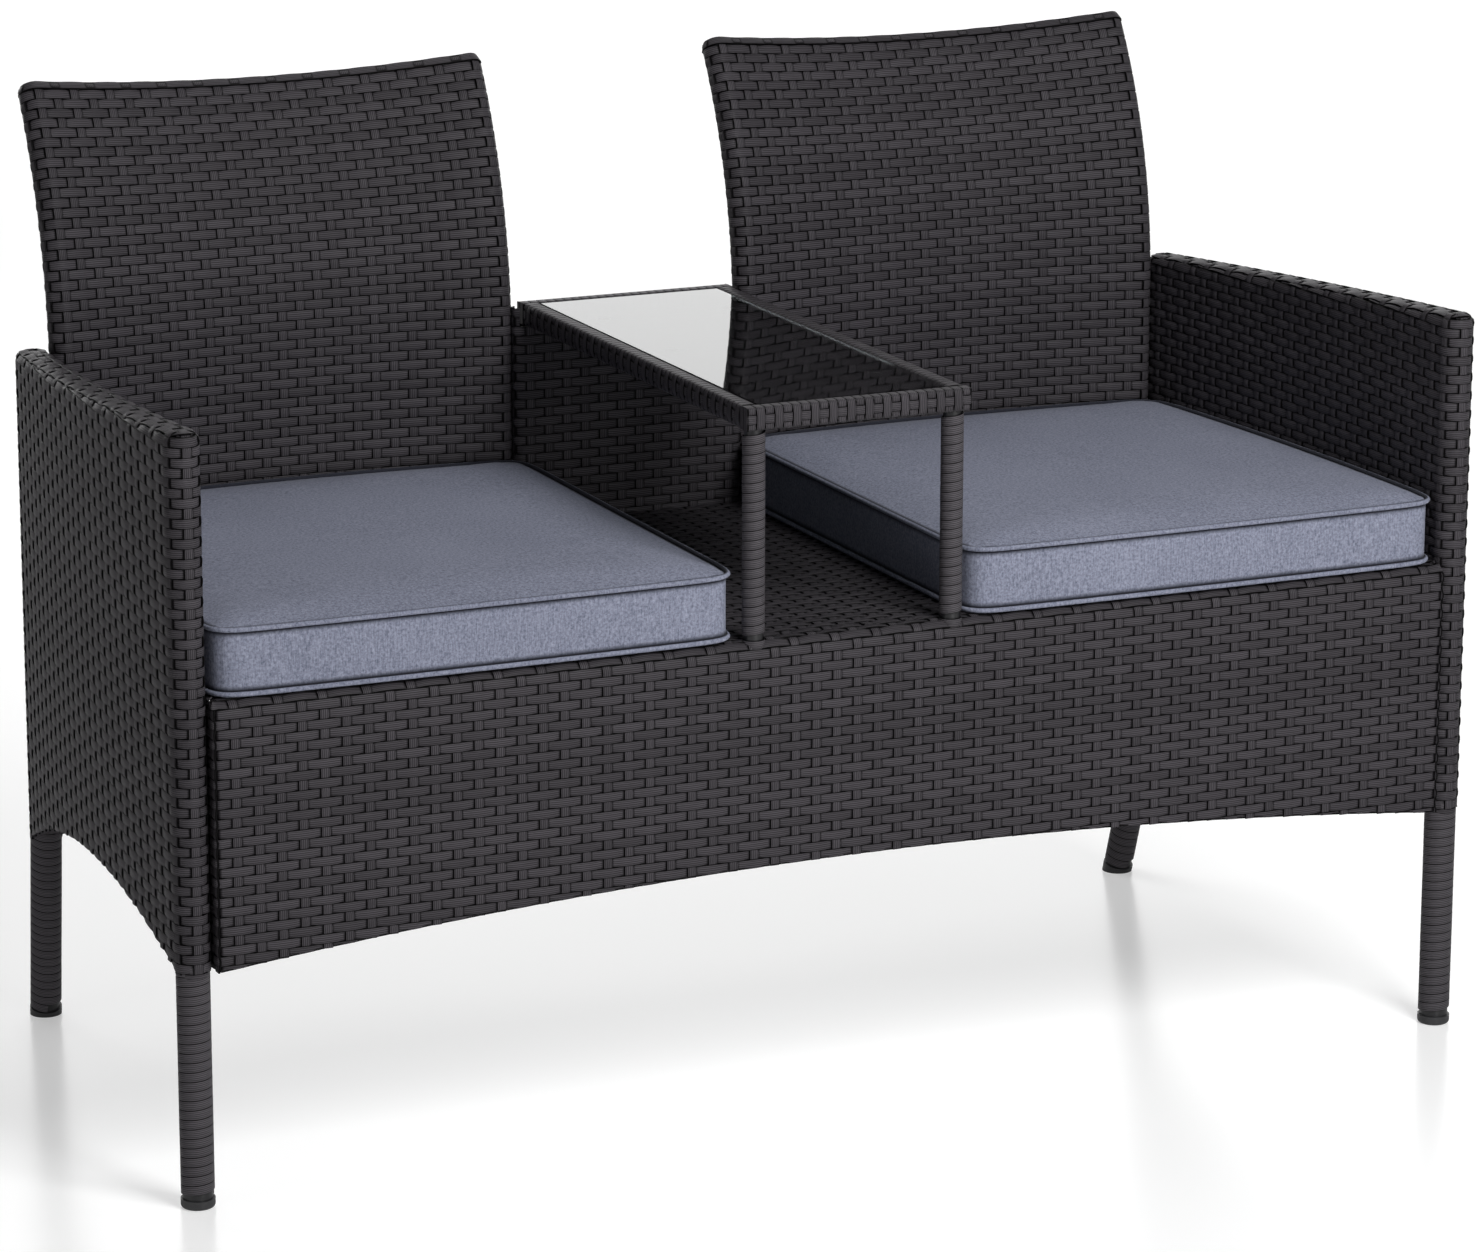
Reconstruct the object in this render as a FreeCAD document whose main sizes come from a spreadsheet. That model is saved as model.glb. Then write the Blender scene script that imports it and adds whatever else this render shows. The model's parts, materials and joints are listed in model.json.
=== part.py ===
import FreeCAD, Part
import math
import os
import Sketcher
from FreeCAD import Placement, Rotation, Vector

# Companion seat bench: two seats with loose cushions and a small glass-topped table between them.
# Tube frame, flat wicker strip woven over the panels and wound round legs, posts and table rim.
# +X runs along the bench, +Y to the rear, +Z up. While building, y is measured from the apron's
# front face; every piece is then moved so that the middle of the depth is at y = 0.

os.makedirs("parts", exist_ok=True)
doc = FreeCAD.newDocument("companion_seat_bench")
sheet = doc.addObject("Spreadsheet::Sheet", "sizes")
size_rows = []


def let(name, value):
    """Write a size into the sheet under its own name and give it back."""
    size_rows.append(name)
    row = len(size_rows)
    sheet.set(f"A{row}", name)
    sheet.set(f"B{row}", repr(float(value)))
    sheet.setAlias(f"B{row}", name)
    return float(value)


# Whole bench
overall_width = 1200.0
seat_height = 428.0
fit_gap = 0.3
cut_over = 5.0
weld_gap = 2.0

# Tubes and the strip on them
leg_tube = 25.0
frame_tube = 20.0
back_tube = 22.0
rod_tube = 16.0
arch_rod = 12.0
centre_tube = 14.0
tube_wall = 1.5
thin_wall = 1.2
leg_strip = 1.0
arm_skin = 2.2
back_skin = 1.6

# Arm sides
front_leg_y = 19.0
leg_spread = 480.0
arm_toe_in = 28.5
arm_bow = 8.4
arm_front_height = 650.0
arm_rear_height = 620.0
arm_round = 9.0
arm_arch_radius = 656.0
arm_arch_top = 238.5
arm_arch_place = 213.0
rear_leg_bend_height = 204.0
rear_leg_kick = 51.5
rear_leg_kick_in = 10.0
leg_bend_radius = 60.0

# Feet
foot_height = 8.0
foot_radius = 14.3
foot_edge = 3.0
foot_spigot = 20.0
foot_spigot_edge = 1.0

# Apron and seat frame
apron_end_gap = 2.0
apron_depth = 24.0
apron_round = 13.5
apron_end_height = 202.5
apron_arch_rise = 31.0
rear_rail_gap = 1.1
side_rail_inset = 46.0
cross_bar_inset = 5.0
deck_edge_gap = 1.5

# Backrests
back_drop = 30.0
back_bow = 22.0
back_straight_top = 595.0
back_arc_radius = 451.0
back_lean = 32.7
back_top_round = 5.0
back_tube_inset = 1.0
bottom_rail_inset = 3.0

# Panel between the backrests
centre_half = 111.0
centre_forward = 8.5

# Table
table_half = 103.0
table_front_overhang = 1.3
table_rear_overhang = 0.6
table_height = 628.0
rim_width = 15.6
rim_height = 20.6
rim_round = 2.0
glass_thickness = 5.0
glass_drop = 1.0
glass_gap = 1.0
pad_thickness = 2.0
pad_radius = 6.0
bearer_thickness = 3.0
bearer_width = 15.0
post_inset = 11.6
post_setback = 12.8
post_strip = 1.3

# Cushions
cushion_gap = 1.0
cushion_front = 4.0
cushion_front_bow = 2.0
cushion_rear_bow = 13.6
cushion_thickness = 55.5
cushion_seam_height = 3.0
cushion_base_inset = 10.0
cushion_crown = 7.5
cushion_crown_run = 100.0
cushion_draw = 2.4
cushion_corner = 26.0

# Bolts
bolt_shank = 6.0
bolt_head = 10.0
bolt_head_height = 4.0
bolt_reach = 4.0

# Every size named so far gets its own cell
for size_name, size in list(globals().items()):
    if isinstance(size, float):
        let(size_name, size)

# Worked out
leg_r = leg_tube / 2
back_r = back_tube / 2
arm_half = leg_r + fit_gap + arm_skin
back_half = back_r + fit_gap + back_skin
centre_r = centre_tube / 2 + fit_gap + back_skin
arm_x = overall_width / 2 - arm_half
arm_chord = let("arm_chord", math.hypot(leg_spread, arm_toe_in))
arm_angle = let("arm_angle", math.degrees(math.atan2(arm_toe_in, leg_spread)))
rear_leg_x = arm_x - arm_toe_in
rear_leg_y = front_leg_y + leg_spread
arm_slope = (arm_front_height - arm_rear_height) / (arm_chord + 2 * arm_half)
arm_slope_angle = math.atan(arm_slope)
kick_length = math.hypot(rear_leg_kick, rear_leg_kick_in)
kick_angle = math.atan2(kick_length, rear_leg_bend_height)
apron_skin = arm_skin
apron_half = arm_x - arm_half - apron_end_gap
front_rail_y = apron_skin + fit_gap + leg_r
rail_z = seat_height - apron_skin - fit_gap - leg_r

# The backrests' round ends stand close to the arms' rear ends and to the panel behind the table
back_y = rear_leg_y
back_bottom = seat_height - back_drop
back_outer_x = rear_leg_x - arm_half - fit_gap - back_half
end_distance = centre_r + fit_gap + back_half
back_inner_x = centre_half - centre_r + math.sqrt(end_distance**2 - centre_forward**2)
back_middle_x = (back_outer_x + back_inner_x) / 2
back_reach = (back_outer_x - back_inner_x) / 2
centre_y = back_y - centre_forward
rear_rail_y = centre_y - centre_r - rear_rail_gap - leg_r
rear_surface = back_arc_radius - back_bow - back_half + back_top_round
round_place = math.radians(back_lean) - math.asin(back_top_round / rear_surface)
back_rear = back_y + back_arc_radius - rear_surface * math.cos(round_place) + back_top_round

table_front = -table_front_overhang
table_rear = centre_y + centre_r + table_rear_overhang
rim_under = table_height - rim_height
post_x = table_half - post_inset
post_y = table_front + post_setback
cross_bar_x = table_half - cross_bar_inset
depth_middle = let("depth_middle", (table_front + back_rear) / 2)
sides = (("left", -1), ("right", 1))


def origin_plane(body, role):
    """The body's own origin plane of this role."""
    return [item for item in body.Origin.OriginFeatures if item.Role == role][0]


def new_body(name):
    return doc.addObject("PartDesign::Body", name)


def sketch_on(body, role, lines, lift=0.0):
    """A closed outline on an origin plane, lifted along the plane's normal."""
    sketch = body.newObject("Sketcher::SketchObject", body.Name + "_sketch")
    sketch.AttachmentSupport = [(origin_plane(body, role), "")]
    sketch.MapMode = "FlatFace"
    sketch.AttachmentOffset = Placement(Vector(0, 0, lift), Rotation())
    sketch.addGeometry(lines, False)
    return sketch


def rings(sketch, *diameters):
    """Circles round the sketch origin, each diameter bound to the sheet."""
    for diameter in diameters:
        index = sketch.addGeometry(Part.Circle(Vector(), Vector(0, 0, 1), 10.0), False)
        row = sketch.addConstraint(Sketcher.Constraint("Diameter", index, 20.0))
        sketch.setExpression(f"Constraints[{row}]", diameter)
    return sketch


def pad(body, profile, length, both_ways=False):
    """Pad a sketch by a number or by a sheet expression."""
    feature = body.newObject("PartDesign::Pad", body.Name + "_pad")
    feature.Profile = profile
    if both_ways:
        feature.SideType = "Symmetric"
    if isinstance(length, str):
        feature.setExpression("Length", length)
    else:
        feature.Length = length
    return feature


def pocket(body, profile):
    """Cut a sketch right through the body, both ways."""
    feature = body.newObject("PartDesign::Pocket", body.Name + "_pocket")
    feature.Profile = profile
    feature.Type = "ThroughAll"
    feature.SideType = "Symmetric"
    return feature


def fillet_where(body, radius, choose):
    """Round the edges of the body's last feature that the choice function accepts."""
    doc.recompute()
    base = body.Tip
    chosen = [f"Edge{i}" for i, edge in enumerate(base.Shape.Edges, start=1) if choose(edge)]
    feature = body.newObject("PartDesign::Fillet", body.Name + "_fillet")
    feature.Base = (base, chosen)
    feature.setExpression("Radius", radius)
    return feature


def polyline(points):
    """Closed outline of straight lines through 2D points."""
    vectors = [Vector(x, y, 0) for x, y in points]
    return [Part.LineSegment(a, b) for a, b in zip(vectors, vectors[1:] + vectors[:1])]


def rectangle(x0, x1, y0, y1):
    return polyline([(x0, y0), (x1, y0), (x1, y1), (x0, y1)])


def bowed_slot(x0, x1, y0, bow, radius):
    """Slot with round ends between (x0, y0) and (x1, y0), its middle carried sideways by the bow."""
    half = (x1 - x0) / 2
    middle = (x0 + x1) / 2
    way = 1 if bow > 0 else -1
    big = (half * half + bow * bow) / (2 * abs(bow))
    end = math.asin(half / big)

    def at(angle, reach):
        across = way * (abs(bow) - big + reach * math.cos(angle))
        return Vector(middle + reach * math.sin(angle), y0 + across, 0)

    def tip(angle):
        along = Vector(math.cos(angle), -way * math.sin(angle), 0) * (radius if angle > 0 else -radius)
        return at(angle, big) + along

    outer = [at(angle, big + radius) for angle in (-end, 0, end)]
    inner = [at(angle, big - radius) for angle in (end, 0, -end)]
    return [
        Part.Arc(*outer),
        Part.Arc(outer[2], tip(end), inner[0]),
        Part.Arc(*inner),
        Part.Arc(inner[2], tip(-end), outer[0]),
    ]


def bow_path(half, bow):
    """Shallow arc from -half to +half along x, its middle off the chord by the bow."""
    return [Part.Arc(Vector(-half, 0, 0), Vector(0, bow, 0), Vector(half, 0, 0))]


def pipe(body, role, path_lines, diameters):
    """Round tube or rod along a path drawn on an origin plane."""
    path = sketch_on(body, role, path_lines)
    profile = body.newObject("Sketcher::SketchObject", body.Name + "_profile")
    profile.AttachmentSupport = [(path, "Edge1")]
    profile.MapMode = "NormalToEdge"
    profile.MapPathParameter = 0.0
    rings(profile, *diameters)
    feature = body.newObject("PartDesign::AdditivePipe", body.Name + "_pipe")
    feature.Profile = profile
    feature.Spine = (path, [f"Edge{i + 1}" for i in range(len(path_lines))])
    return body


def put(item, x, y, z, turn=None):
    """Set a piece down at a point of the bench, y measured from the apron's front face."""
    item.Placement = Placement(Vector(x, y - depth_middle, z), turn or Rotation())
    return item


def cut(name, base, *tools):
    """Take tools out of a base piece, one after the other; the last cut carries the piece's name."""
    for number, tool in enumerate(tools, start=1):
        last = number == len(tools)
        feature = doc.addObject("Part::Cut", name if last else f"{name}_less_{number}")
        feature.Base = base
        feature.Tool = tool
        base = feature
    return base


def rod_between(name, start, end, diameter):
    """Solid round rod from one point to another, bench coordinates."""
    rod = doc.addObject("Part::Cylinder", name)
    way = Vector(*end) - Vector(*start)
    rod.setExpression("Radius", f"({diameter}) / 2")
    rod.Height = way.Length
    return put(rod, *start, Rotation(Vector(0, 0, 1), way))


def tube_between(name, start, end, diameter, wall):
    """Straight round tube from one point to another, bench coordinates."""
    body = new_body(name)
    way = Vector(*end) - Vector(*start)
    profile = rings(sketch_on(body, "XY_Plane", []), diameter, f"{diameter} - 2 * {wall}")
    pad(body, profile, way.Length)
    return put(body, *start, Rotation(Vector(0, 0, 1), way))


def box_between(name, low, high):
    """Block between two corners, bench coordinates."""
    box = doc.addObject("Part::Box", name)
    box.Length, box.Width, box.Height = (b - a for a, b in zip(low, high))
    return put(box, *low)


def group(name, items):
    """Identical pieces that share one node."""
    feature = doc.addObject("Part::Compound", name)
    feature.Links = items
    return feature


def bolt(name, start, end):
    """Hexagon bolt, its head's underside at the start and its shank's tip at the end."""
    body = new_body(name)
    radius = bolt_head / 2
    corners = [(radius * math.cos(math.pi * i / 3), radius * math.sin(math.pi * i / 3)) for i in range(6)]
    pad(body, sketch_on(body, "XY_Plane", polyline(corners), -bolt_head_height), "sizes.bolt_head_height")
    way = Vector(*end) - Vector(*start)
    pad(body, rings(sketch_on(body, "XY_Plane", []), "sizes.bolt_shank"), way.Length)
    return put(body, *start, Rotation(Vector(0, 0, 1), way))


# Arm sides, built in a frame whose x runs from the front leg to the rear upright
def arm_turn(side):
    return Rotation(Vector(0, 0, 1), 90 + side * arm_angle)


def on_arm(side, along, inward, z):
    """Point of an arm's own frame in bench coordinates; inward is towards the seat."""
    local = arm_turn(side).multVec(Vector(along, side * inward, z))
    return (side * arm_x + local.x, front_leg_y + local.y, local.z)


def put_on_arm(item, side):
    return put(item, side * arm_x, front_leg_y, 0, arm_turn(side))


def arm_top(along):
    return arm_front_height - arm_slope * (along + arm_half)


def arch_line(extra, reach_x0, reach_x1):
    """Arc of the arched lower edge between two places along the arm, raised by an extra."""
    radius = arm_arch_radius + extra
    centre = Vector(arm_arch_place, arm_arch_top - arm_arch_radius, 0)

    def at(along):
        across = along - centre.x
        return Vector(along, centre.y + math.sqrt(radius * radius - across * across), 0)

    return Part.Arc(at(reach_x0), at((reach_x0 + reach_x1) / 2), at(reach_x1))


def arch_region(extra, level):
    """Closed region between the arched edge and a level line."""
    arc = arch_line(extra, -3 * arm_half, arm_chord + 3 * arm_half)
    start, end = arc.StartPoint, arc.EndPoint
    low_start = Vector(start.x, level, 0)
    low_end = Vector(end.x, level, 0)
    return [
        arc,
        Part.LineSegment(end, low_end),
        Part.LineSegment(low_end, low_start),
        Part.LineSegment(low_start, start),
    ]


def arm_block(name, side, radius, inset, rounding):
    """Solid of the arm side: bowed plan, sloped rounded top, arched lower edge."""
    body = new_body(name)
    base_level = arm_arch_top - arm_arch_radius / 4
    plan = bowed_slot(0, arm_chord, 0, -side * arm_bow, radius)
    pad(body, sketch_on(body, "XY_Plane", plan, base_level), arm_front_height - base_level + cut_over)
    drop = inset / math.cos(arm_slope_angle)
    far = 3 * arm_half
    ceiling = arm_front_height + far
    top = [
        (-far, arm_top(-far) - drop),
        (arm_chord + far, arm_top(arm_chord + far) - drop),
        (arm_chord + far, ceiling),
        (-far, ceiling),
    ]
    pocket(body, sketch_on(body, "XZ_Plane", polyline(top)))
    pocket(body, sketch_on(body, "XZ_Plane", arch_region(inset, base_level - cut_over)))

    def on_top(edge):
        return all(v.Z > arm_top(v.X) - drop - 0.01 for v in edge.Vertexes)

    fillet_where(body, rounding, on_top)
    return put_on_arm(body, side)


def rear_leg_path(low, high):
    """Line, arc and line of the rear leg, x towards the foot, from a distance up the raked part."""
    foot = Vector(kick_length, 0, 0)
    bend = Vector(0, rear_leg_bend_height, 0)
    up = (bend - foot).normalize()
    tangent = leg_bend_radius * math.tan(kick_angle / 2)
    half = kick_angle / 2
    centre = Vector(leg_bend_radius, rear_leg_bend_height + tangent, 0)
    enter = bend - up * tangent
    leave = bend + Vector(0, tangent, 0)
    middle = centre + Vector(-math.cos(half), -math.sin(half), 0) * leg_bend_radius
    return [
        Part.LineSegment(foot + up * low, enter),
        Part.Arc(enter, middle, leave),
        Part.LineSegment(leave, Vector(0, high, 0)),
    ]


def rear_leg_turn(side):
    """Turn of the raked leg's plane: x towards the foot, which is kicked back and inward."""
    return Rotation(Vector(0, 0, 1), math.degrees(math.atan2(rear_leg_kick, -side * rear_leg_kick_in)))


def foot(name, below):
    """Round cap with a domed lower edge and a spigot for the tube."""
    body = new_body(name)
    spigot = leg_r - tube_wall - fit_gap
    low = -below
    edge = foot_edge
    lines = [
        Part.LineSegment(Vector(0, low, 0), Vector(foot_radius - edge, low, 0)),
        Part.Arc(
            Vector(foot_radius - edge, low, 0),
            Vector(foot_radius - edge * (1 - math.sqrt(0.5)), low + edge * (1 - math.sqrt(0.5)), 0),
            Vector(foot_radius, low + edge, 0),
        ),
    ]
    rest = [
        (foot_radius, low + edge),
        (foot_radius, foot_height),
        (spigot, foot_height),
        (spigot, foot_height + foot_spigot - foot_spigot_edge),
        (spigot - foot_spigot_edge, foot_height + foot_spigot),
        (0, foot_height + foot_spigot),
        (0, low),
    ]
    corners = [Vector(x, y, 0) for x, y in rest]
    lines += [Part.LineSegment(a, b) for a, b in zip(corners, corners[1:])]
    profile = sketch_on(body, "XZ_Plane", lines)
    feature = body.newObject("PartDesign::Revolution", name + "_turned")
    feature.Profile = profile
    feature.ReferenceAxis = (profile, ["V_Axis"])
    feature.Angle = 360
    return body


def build_arm(label, side):
    """One arm side: legs, rails, arch rod, woven sleeve, windings, feet and bolts."""
    pieces = {}
    name = label + "_"
    skin = arm_block(name + "arm_outside", side, arm_half, 0.0, "sizes.arm_round")
    hollow_round = "sizes.arm_round - sizes.arm_skin"
    hollow = arm_block(name + "arm_hollow", side, arm_half - arm_skin, arm_skin, hollow_round)
    # The rooms are a touch wider than the hollow's round ends, so that no two walls coincide
    low = arm_arch_top - arm_arch_radius / 4
    high = arm_arch_top + arm_skin
    leg_room = "sizes.leg_tube + 2.4 * sizes.fit_gap"
    front_room = rod_between(name + "front_leg_room", (side * arm_x, front_leg_y, low),
                             (side * arm_x, front_leg_y, high), leg_room)
    rear_high = rear_leg_bend_height + leg_bend_radius
    rear_room = pipe(new_body(name + "rear_leg_room"), "XZ_Plane",
                     rear_leg_path(leg_bend_radius, rear_high), [leg_room])
    put(rear_room, side * rear_leg_x, rear_leg_y, 0, rear_leg_turn(side))

    bolt_rooms = []
    bolts = []
    for number, along in enumerate((0.125 * arm_chord, 0.8 * arm_chord), start=1):
        start = on_arm(side, along, side_rail_inset + frame_tube / 2 + fit_gap, rail_z)
        end = on_arm(side, along, 0, rail_z)
        bolts.append(bolt(f"{name}arm_bolt_{number}", start, end))
        bolt_rooms.append(rod_between(f"{name}arm_bolt_room_{number}", start, end,
                                      "sizes.bolt_shank + 2 * sizes.fit_gap"))

    pieces["arm_weave"] = cut(name + "arm_weave", skin, hollow, front_room, rear_room, *bolt_rooms)

    leg_top = arm_skin + fit_gap + arm_round
    front_top = arm_top(leg_r) - leg_top
    rear_top = arm_top(arm_chord + leg_r) - leg_top
    pieces["front_leg"] = tube_between(
        name + "front_leg", (side * arm_x, front_leg_y, foot_height),
        (side * arm_x, front_leg_y, front_top), "sizes.leg_tube", "sizes.tube_wall")
    bores = ["sizes.leg_tube", "sizes.leg_tube - 2 * sizes.tube_wall"]
    rear_leg = pipe(new_body(name + "rear_leg"), "XZ_Plane", rear_leg_path(foot_height, rear_top), bores)
    pieces["rear_leg"] = put(rear_leg, side * rear_leg_x, rear_leg_y, 0, rear_leg_turn(side))

    # Arm rail: bowed and sloped like the sleeve, butted between the legs
    rail = new_body(name + "arm_rail")
    clear = leg_r + fit_gap
    half = (arm_chord - 2 * clear) / 2
    pipe(rail, "XY_Plane", bow_path(half, -side * arm_bow * (half * 2 / arm_chord) ** 2), bores)
    middle_drop = arm_half / math.cos(arm_slope_angle)
    centre = on_arm(side, arm_chord / 2, -arm_bow * (1 - (half * 2 / arm_chord) ** 2),
                    arm_top(arm_chord / 2) - middle_drop)
    slope_turn = Rotation(Vector(0, 1, 0), math.degrees(arm_slope_angle))
    pieces["arm_rail"] = put(rail, *centre, arm_turn(side).multiply(slope_turn))

    # Side rail and arch rod: straight in plan, half way across the bow
    offset = -arm_bow / 2
    side_rail = tube_between(
        name + "side_rail_tube", on_arm(side, clear, offset, rail_z),
        on_arm(side, arm_chord - clear, offset, rail_z), "sizes.rod_tube", "sizes.thin_wall")
    pieces["side_rail"] = cut(name + "side_rail", side_rail, *bolt_rooms)
    rod = new_body(name + "arch_rod")
    raise_by = arm_skin + fit_gap + arch_rod / 2
    edge = arch_line(raise_by, clear + weld_gap, arm_chord - clear - 2 * weld_gap)
    pipe(rod, "XZ_Plane", [edge], ["sizes.arch_rod"])
    pieces["arch_rod"] = put(rod, *on_arm(side, 0, offset, 0), arm_turn(side))

    # Windings round the legs, their tops following the arched edge
    wound = ["sizes.leg_tube + 2 * (sizes.fit_gap + sizes.leg_strip)", "sizes.leg_tube + 2 * sizes.fit_gap"]
    winding = new_body(name + "front_leg_wrap")
    pad(winding, rings(sketch_on(winding, "XY_Plane", [], foot_height + fit_gap), *wound), arm_arch_top)
    pocket(winding, sketch_on(winding, "XZ_Plane", arch_region(-fit_gap, arm_front_height)))
    pieces["front_leg_wrap"] = put_on_arm(winding, side)
    wrap = pipe(new_body(name + "rear_wrap_full"), "XZ_Plane",
                rear_leg_path(foot_height + fit_gap, rear_leg_bend_height + leg_tube), wound)
    put(wrap, side * rear_leg_x, rear_leg_y, 0, rear_leg_turn(side))
    above = new_body(name + "above_arch")
    above_region = sketch_on(above, "XZ_Plane", arch_region(-fit_gap, arm_front_height))
    pad(above, above_region, 8 * arm_half, both_ways=True)
    put_on_arm(above, side)
    pieces["rear_leg_wrap"] = cut(name + "rear_leg_wrap", wrap, above)

    # Feet
    front_foot = foot(name + "front_foot", 0)
    pieces["front_foot"] = put(front_foot, side * arm_x, front_leg_y, 0)
    foot_x = side * (rear_leg_x - rear_leg_kick_in)
    foot_y = rear_leg_y + rear_leg_kick
    raked = foot(name + "rear_foot_full", foot_height)
    raked_way = Vector(side * rear_leg_kick_in, -rear_leg_kick, rear_leg_bend_height)
    put(raked, foot_x, foot_y, 0, Rotation(Vector(0, 0, 1), raked_way))
    far = 3 * foot_radius
    floor = box_between(name + "floor", (foot_x - far, foot_y - far, -far), (foot_x + far, foot_y + far, 0))
    pieces["rear_foot"] = cut(name + "rear_foot", raked, floor)
    return pieces, bolts, bolt_rooms


def apron_block(name, half, depth, front, top, bottom_rise, rounding):
    """Solid of the apron: straight top rolled at the front, arched lower edge."""
    body = new_body(name)
    end_low = apron_end_height + bottom_rise
    crest = apron_end_height + apron_arch_rise + bottom_rise
    corners = [Vector(half, end_low, 0), Vector(half, top, 0),
               Vector(-half, top, 0), Vector(-half, end_low, 0)]
    lines = [Part.LineSegment(a, b) for a, b in zip(corners, corners[1:])]
    lines.append(Part.Arc(corners[3], Vector(0, crest, 0), corners[0]))
    pad(body, sketch_on(body, "XZ_Plane", lines, -front - depth), depth)

    def front_top(edge):
        return all(abs(v.Y - front) < 0.01 and abs(v.Z - top) < 0.01 for v in edge.Vertexes)

    fillet_where(body, rounding, front_top)
    return put(body, 0, 0, 0)


def build_seat_frame():
    """Front apron, seat rails, cross bars and the woven deck."""
    pieces = {}
    inner_half = apron_half - apron_skin
    skin = apron_block("apron_outside", apron_half, apron_depth, 0, seat_height, 0, "sizes.apron_round")
    hollow = apron_block("apron_hollow", inner_half, apron_depth, apron_skin, seat_height - apron_skin,
                         apron_skin, "sizes.apron_round - sizes.arm_skin")
    holes = [
        rod_between(f"apron_post_room_{i}", (side * post_x, post_y, rail_z),
                    (side * post_x, post_y, seat_height + cut_over), "sizes.rod_tube + 2 * sizes.fit_gap")
        for i, (label, side) in enumerate(sides, start=1)
    ]
    pieces["apron_weave"] = cut("apron_weave", skin, hollow, *holes)

    rail_end = inner_half - fit_gap
    pieces["seat_front_rail"] = tube_between(
        "seat_front_rail", (-rail_end, front_rail_y, rail_z),
        (rail_end, front_rail_y, rail_z), "sizes.leg_tube", "sizes.tube_wall")
    upright_x = rail_end - rod_tube / 2
    upright_y = apron_skin + fit_gap + rod_tube / 2
    upright_low = apron_end_height + apron_skin + weld_gap
    for label, side in sides:
        pieces[f"apron_{label}_upright"] = tube_between(
            f"apron_{label}_upright", (side * upright_x, upright_y, upright_low),
            (side * upright_x, upright_y, rail_z - leg_r - fit_gap), "sizes.rod_tube", "sizes.thin_wall")

    rod = new_body("apron_arch_rod")
    raise_by = apron_skin + fit_gap + arch_rod / 2
    reach = upright_x - rod_tube / 2 - weld_gap / 2
    share = 1 - (reach / apron_half) ** 2
    end_z = apron_end_height + raise_by + apron_arch_rise * share
    crest_z = apron_end_height + raise_by + apron_arch_rise
    line = Part.Arc(Vector(-reach, end_z, 0), Vector(0, crest_z, 0), Vector(reach, end_z, 0))
    pipe(rod, "XZ_Plane", [line], ["sizes.arch_rod"])
    pieces["apron_arch_rod"] = put(rod, 0, apron_skin + fit_gap + arch_rod / 2, 0)

    bar_front = front_rail_y + leg_r + fit_gap
    bar_rear = rear_rail_y - leg_r - fit_gap
    for label, side in sides:
        pieces[f"seat_{label}_cross_bar"] = tube_between(
            f"seat_{label}_cross_bar", (side * cross_bar_x, bar_front, rail_z),
            (side * cross_bar_x, bar_rear, rail_z), "sizes.frame_tube", "sizes.tube_wall")

    # Woven deck: behind the apron, its sides following the bowed arms
    front = apron_depth + fit_gap
    rear = centre_y - centre_r - 2 * fit_gap
    corners = []
    for side in (-1, 1):
        places = [(y - front_leg_y) / leg_spread * arm_chord for y in (front, (front + rear) / 2, rear)]
        run = []
        for along in places:
            bow = arm_bow * (1 - (2 * along / arm_chord - 1) ** 2)
            x, y, z = on_arm(side, along, arm_half - bow + deck_edge_gap, 0)
            run.append(Vector(x, y, 0))
        corners.append(run)
    left, right = corners
    right.reverse()
    for run in corners:
        for point in run:
            point.y = min(max(point.y, front), rear)
    lines = [
        Part.Arc(*left),
        Part.LineSegment(left[2], right[0]),
        Part.Arc(*right),
        Part.LineSegment(right[2], left[0]),
    ]
    deck = new_body("seat_deck_weave")
    pad(deck, sketch_on(deck, "XY_Plane", lines), "sizes.arm_skin")
    pieces["seat_deck_weave"] = put(deck, 0, 0, seat_height - apron_skin)
    return pieces


def back_arc(angle, offset=0.0):
    """Point of the backrest's side line at an angle of its curved top part, y and z."""
    reach = back_arc_radius - offset
    return (back_y + back_arc_radius - reach * math.cos(angle), back_straight_top + reach * math.sin(angle))


def back_path(low, end):
    """Straight line up and then the arc that leans back, on the side plane."""
    points = [Vector(*back_arc(angle), 0) for angle in (0, end / 2, end)]
    return [Part.LineSegment(Vector(back_y, low, 0), points[0]), Part.Arc(*points)]


def back_block(name, radius, low, end, rounding):
    """Solid of a backrest: bowed plan carried up the line and arc, rounded at the top."""
    body = new_body(name)
    path = sketch_on(body, "YZ_Plane", back_path(low, end))
    outline = bowed_slot(-back_reach, back_reach, back_y, back_bow, radius)
    profile = sketch_on(body, "XY_Plane", outline, low)
    feature = body.newObject("PartDesign::AdditivePipe", name + "_pipe")
    feature.Profile = profile
    feature.Spine = (path, ["Edge1", "Edge2"])
    along = Vector(0, math.sin(end), math.cos(end))
    y, z = back_arc(end)
    top = Vector(0, y, z)

    def on_top(edge):
        return all(abs((v.Point - top).dot(along)) < 0.01 for v in edge.Vertexes)

    fillet_where(body, rounding, on_top)
    return body


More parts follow.
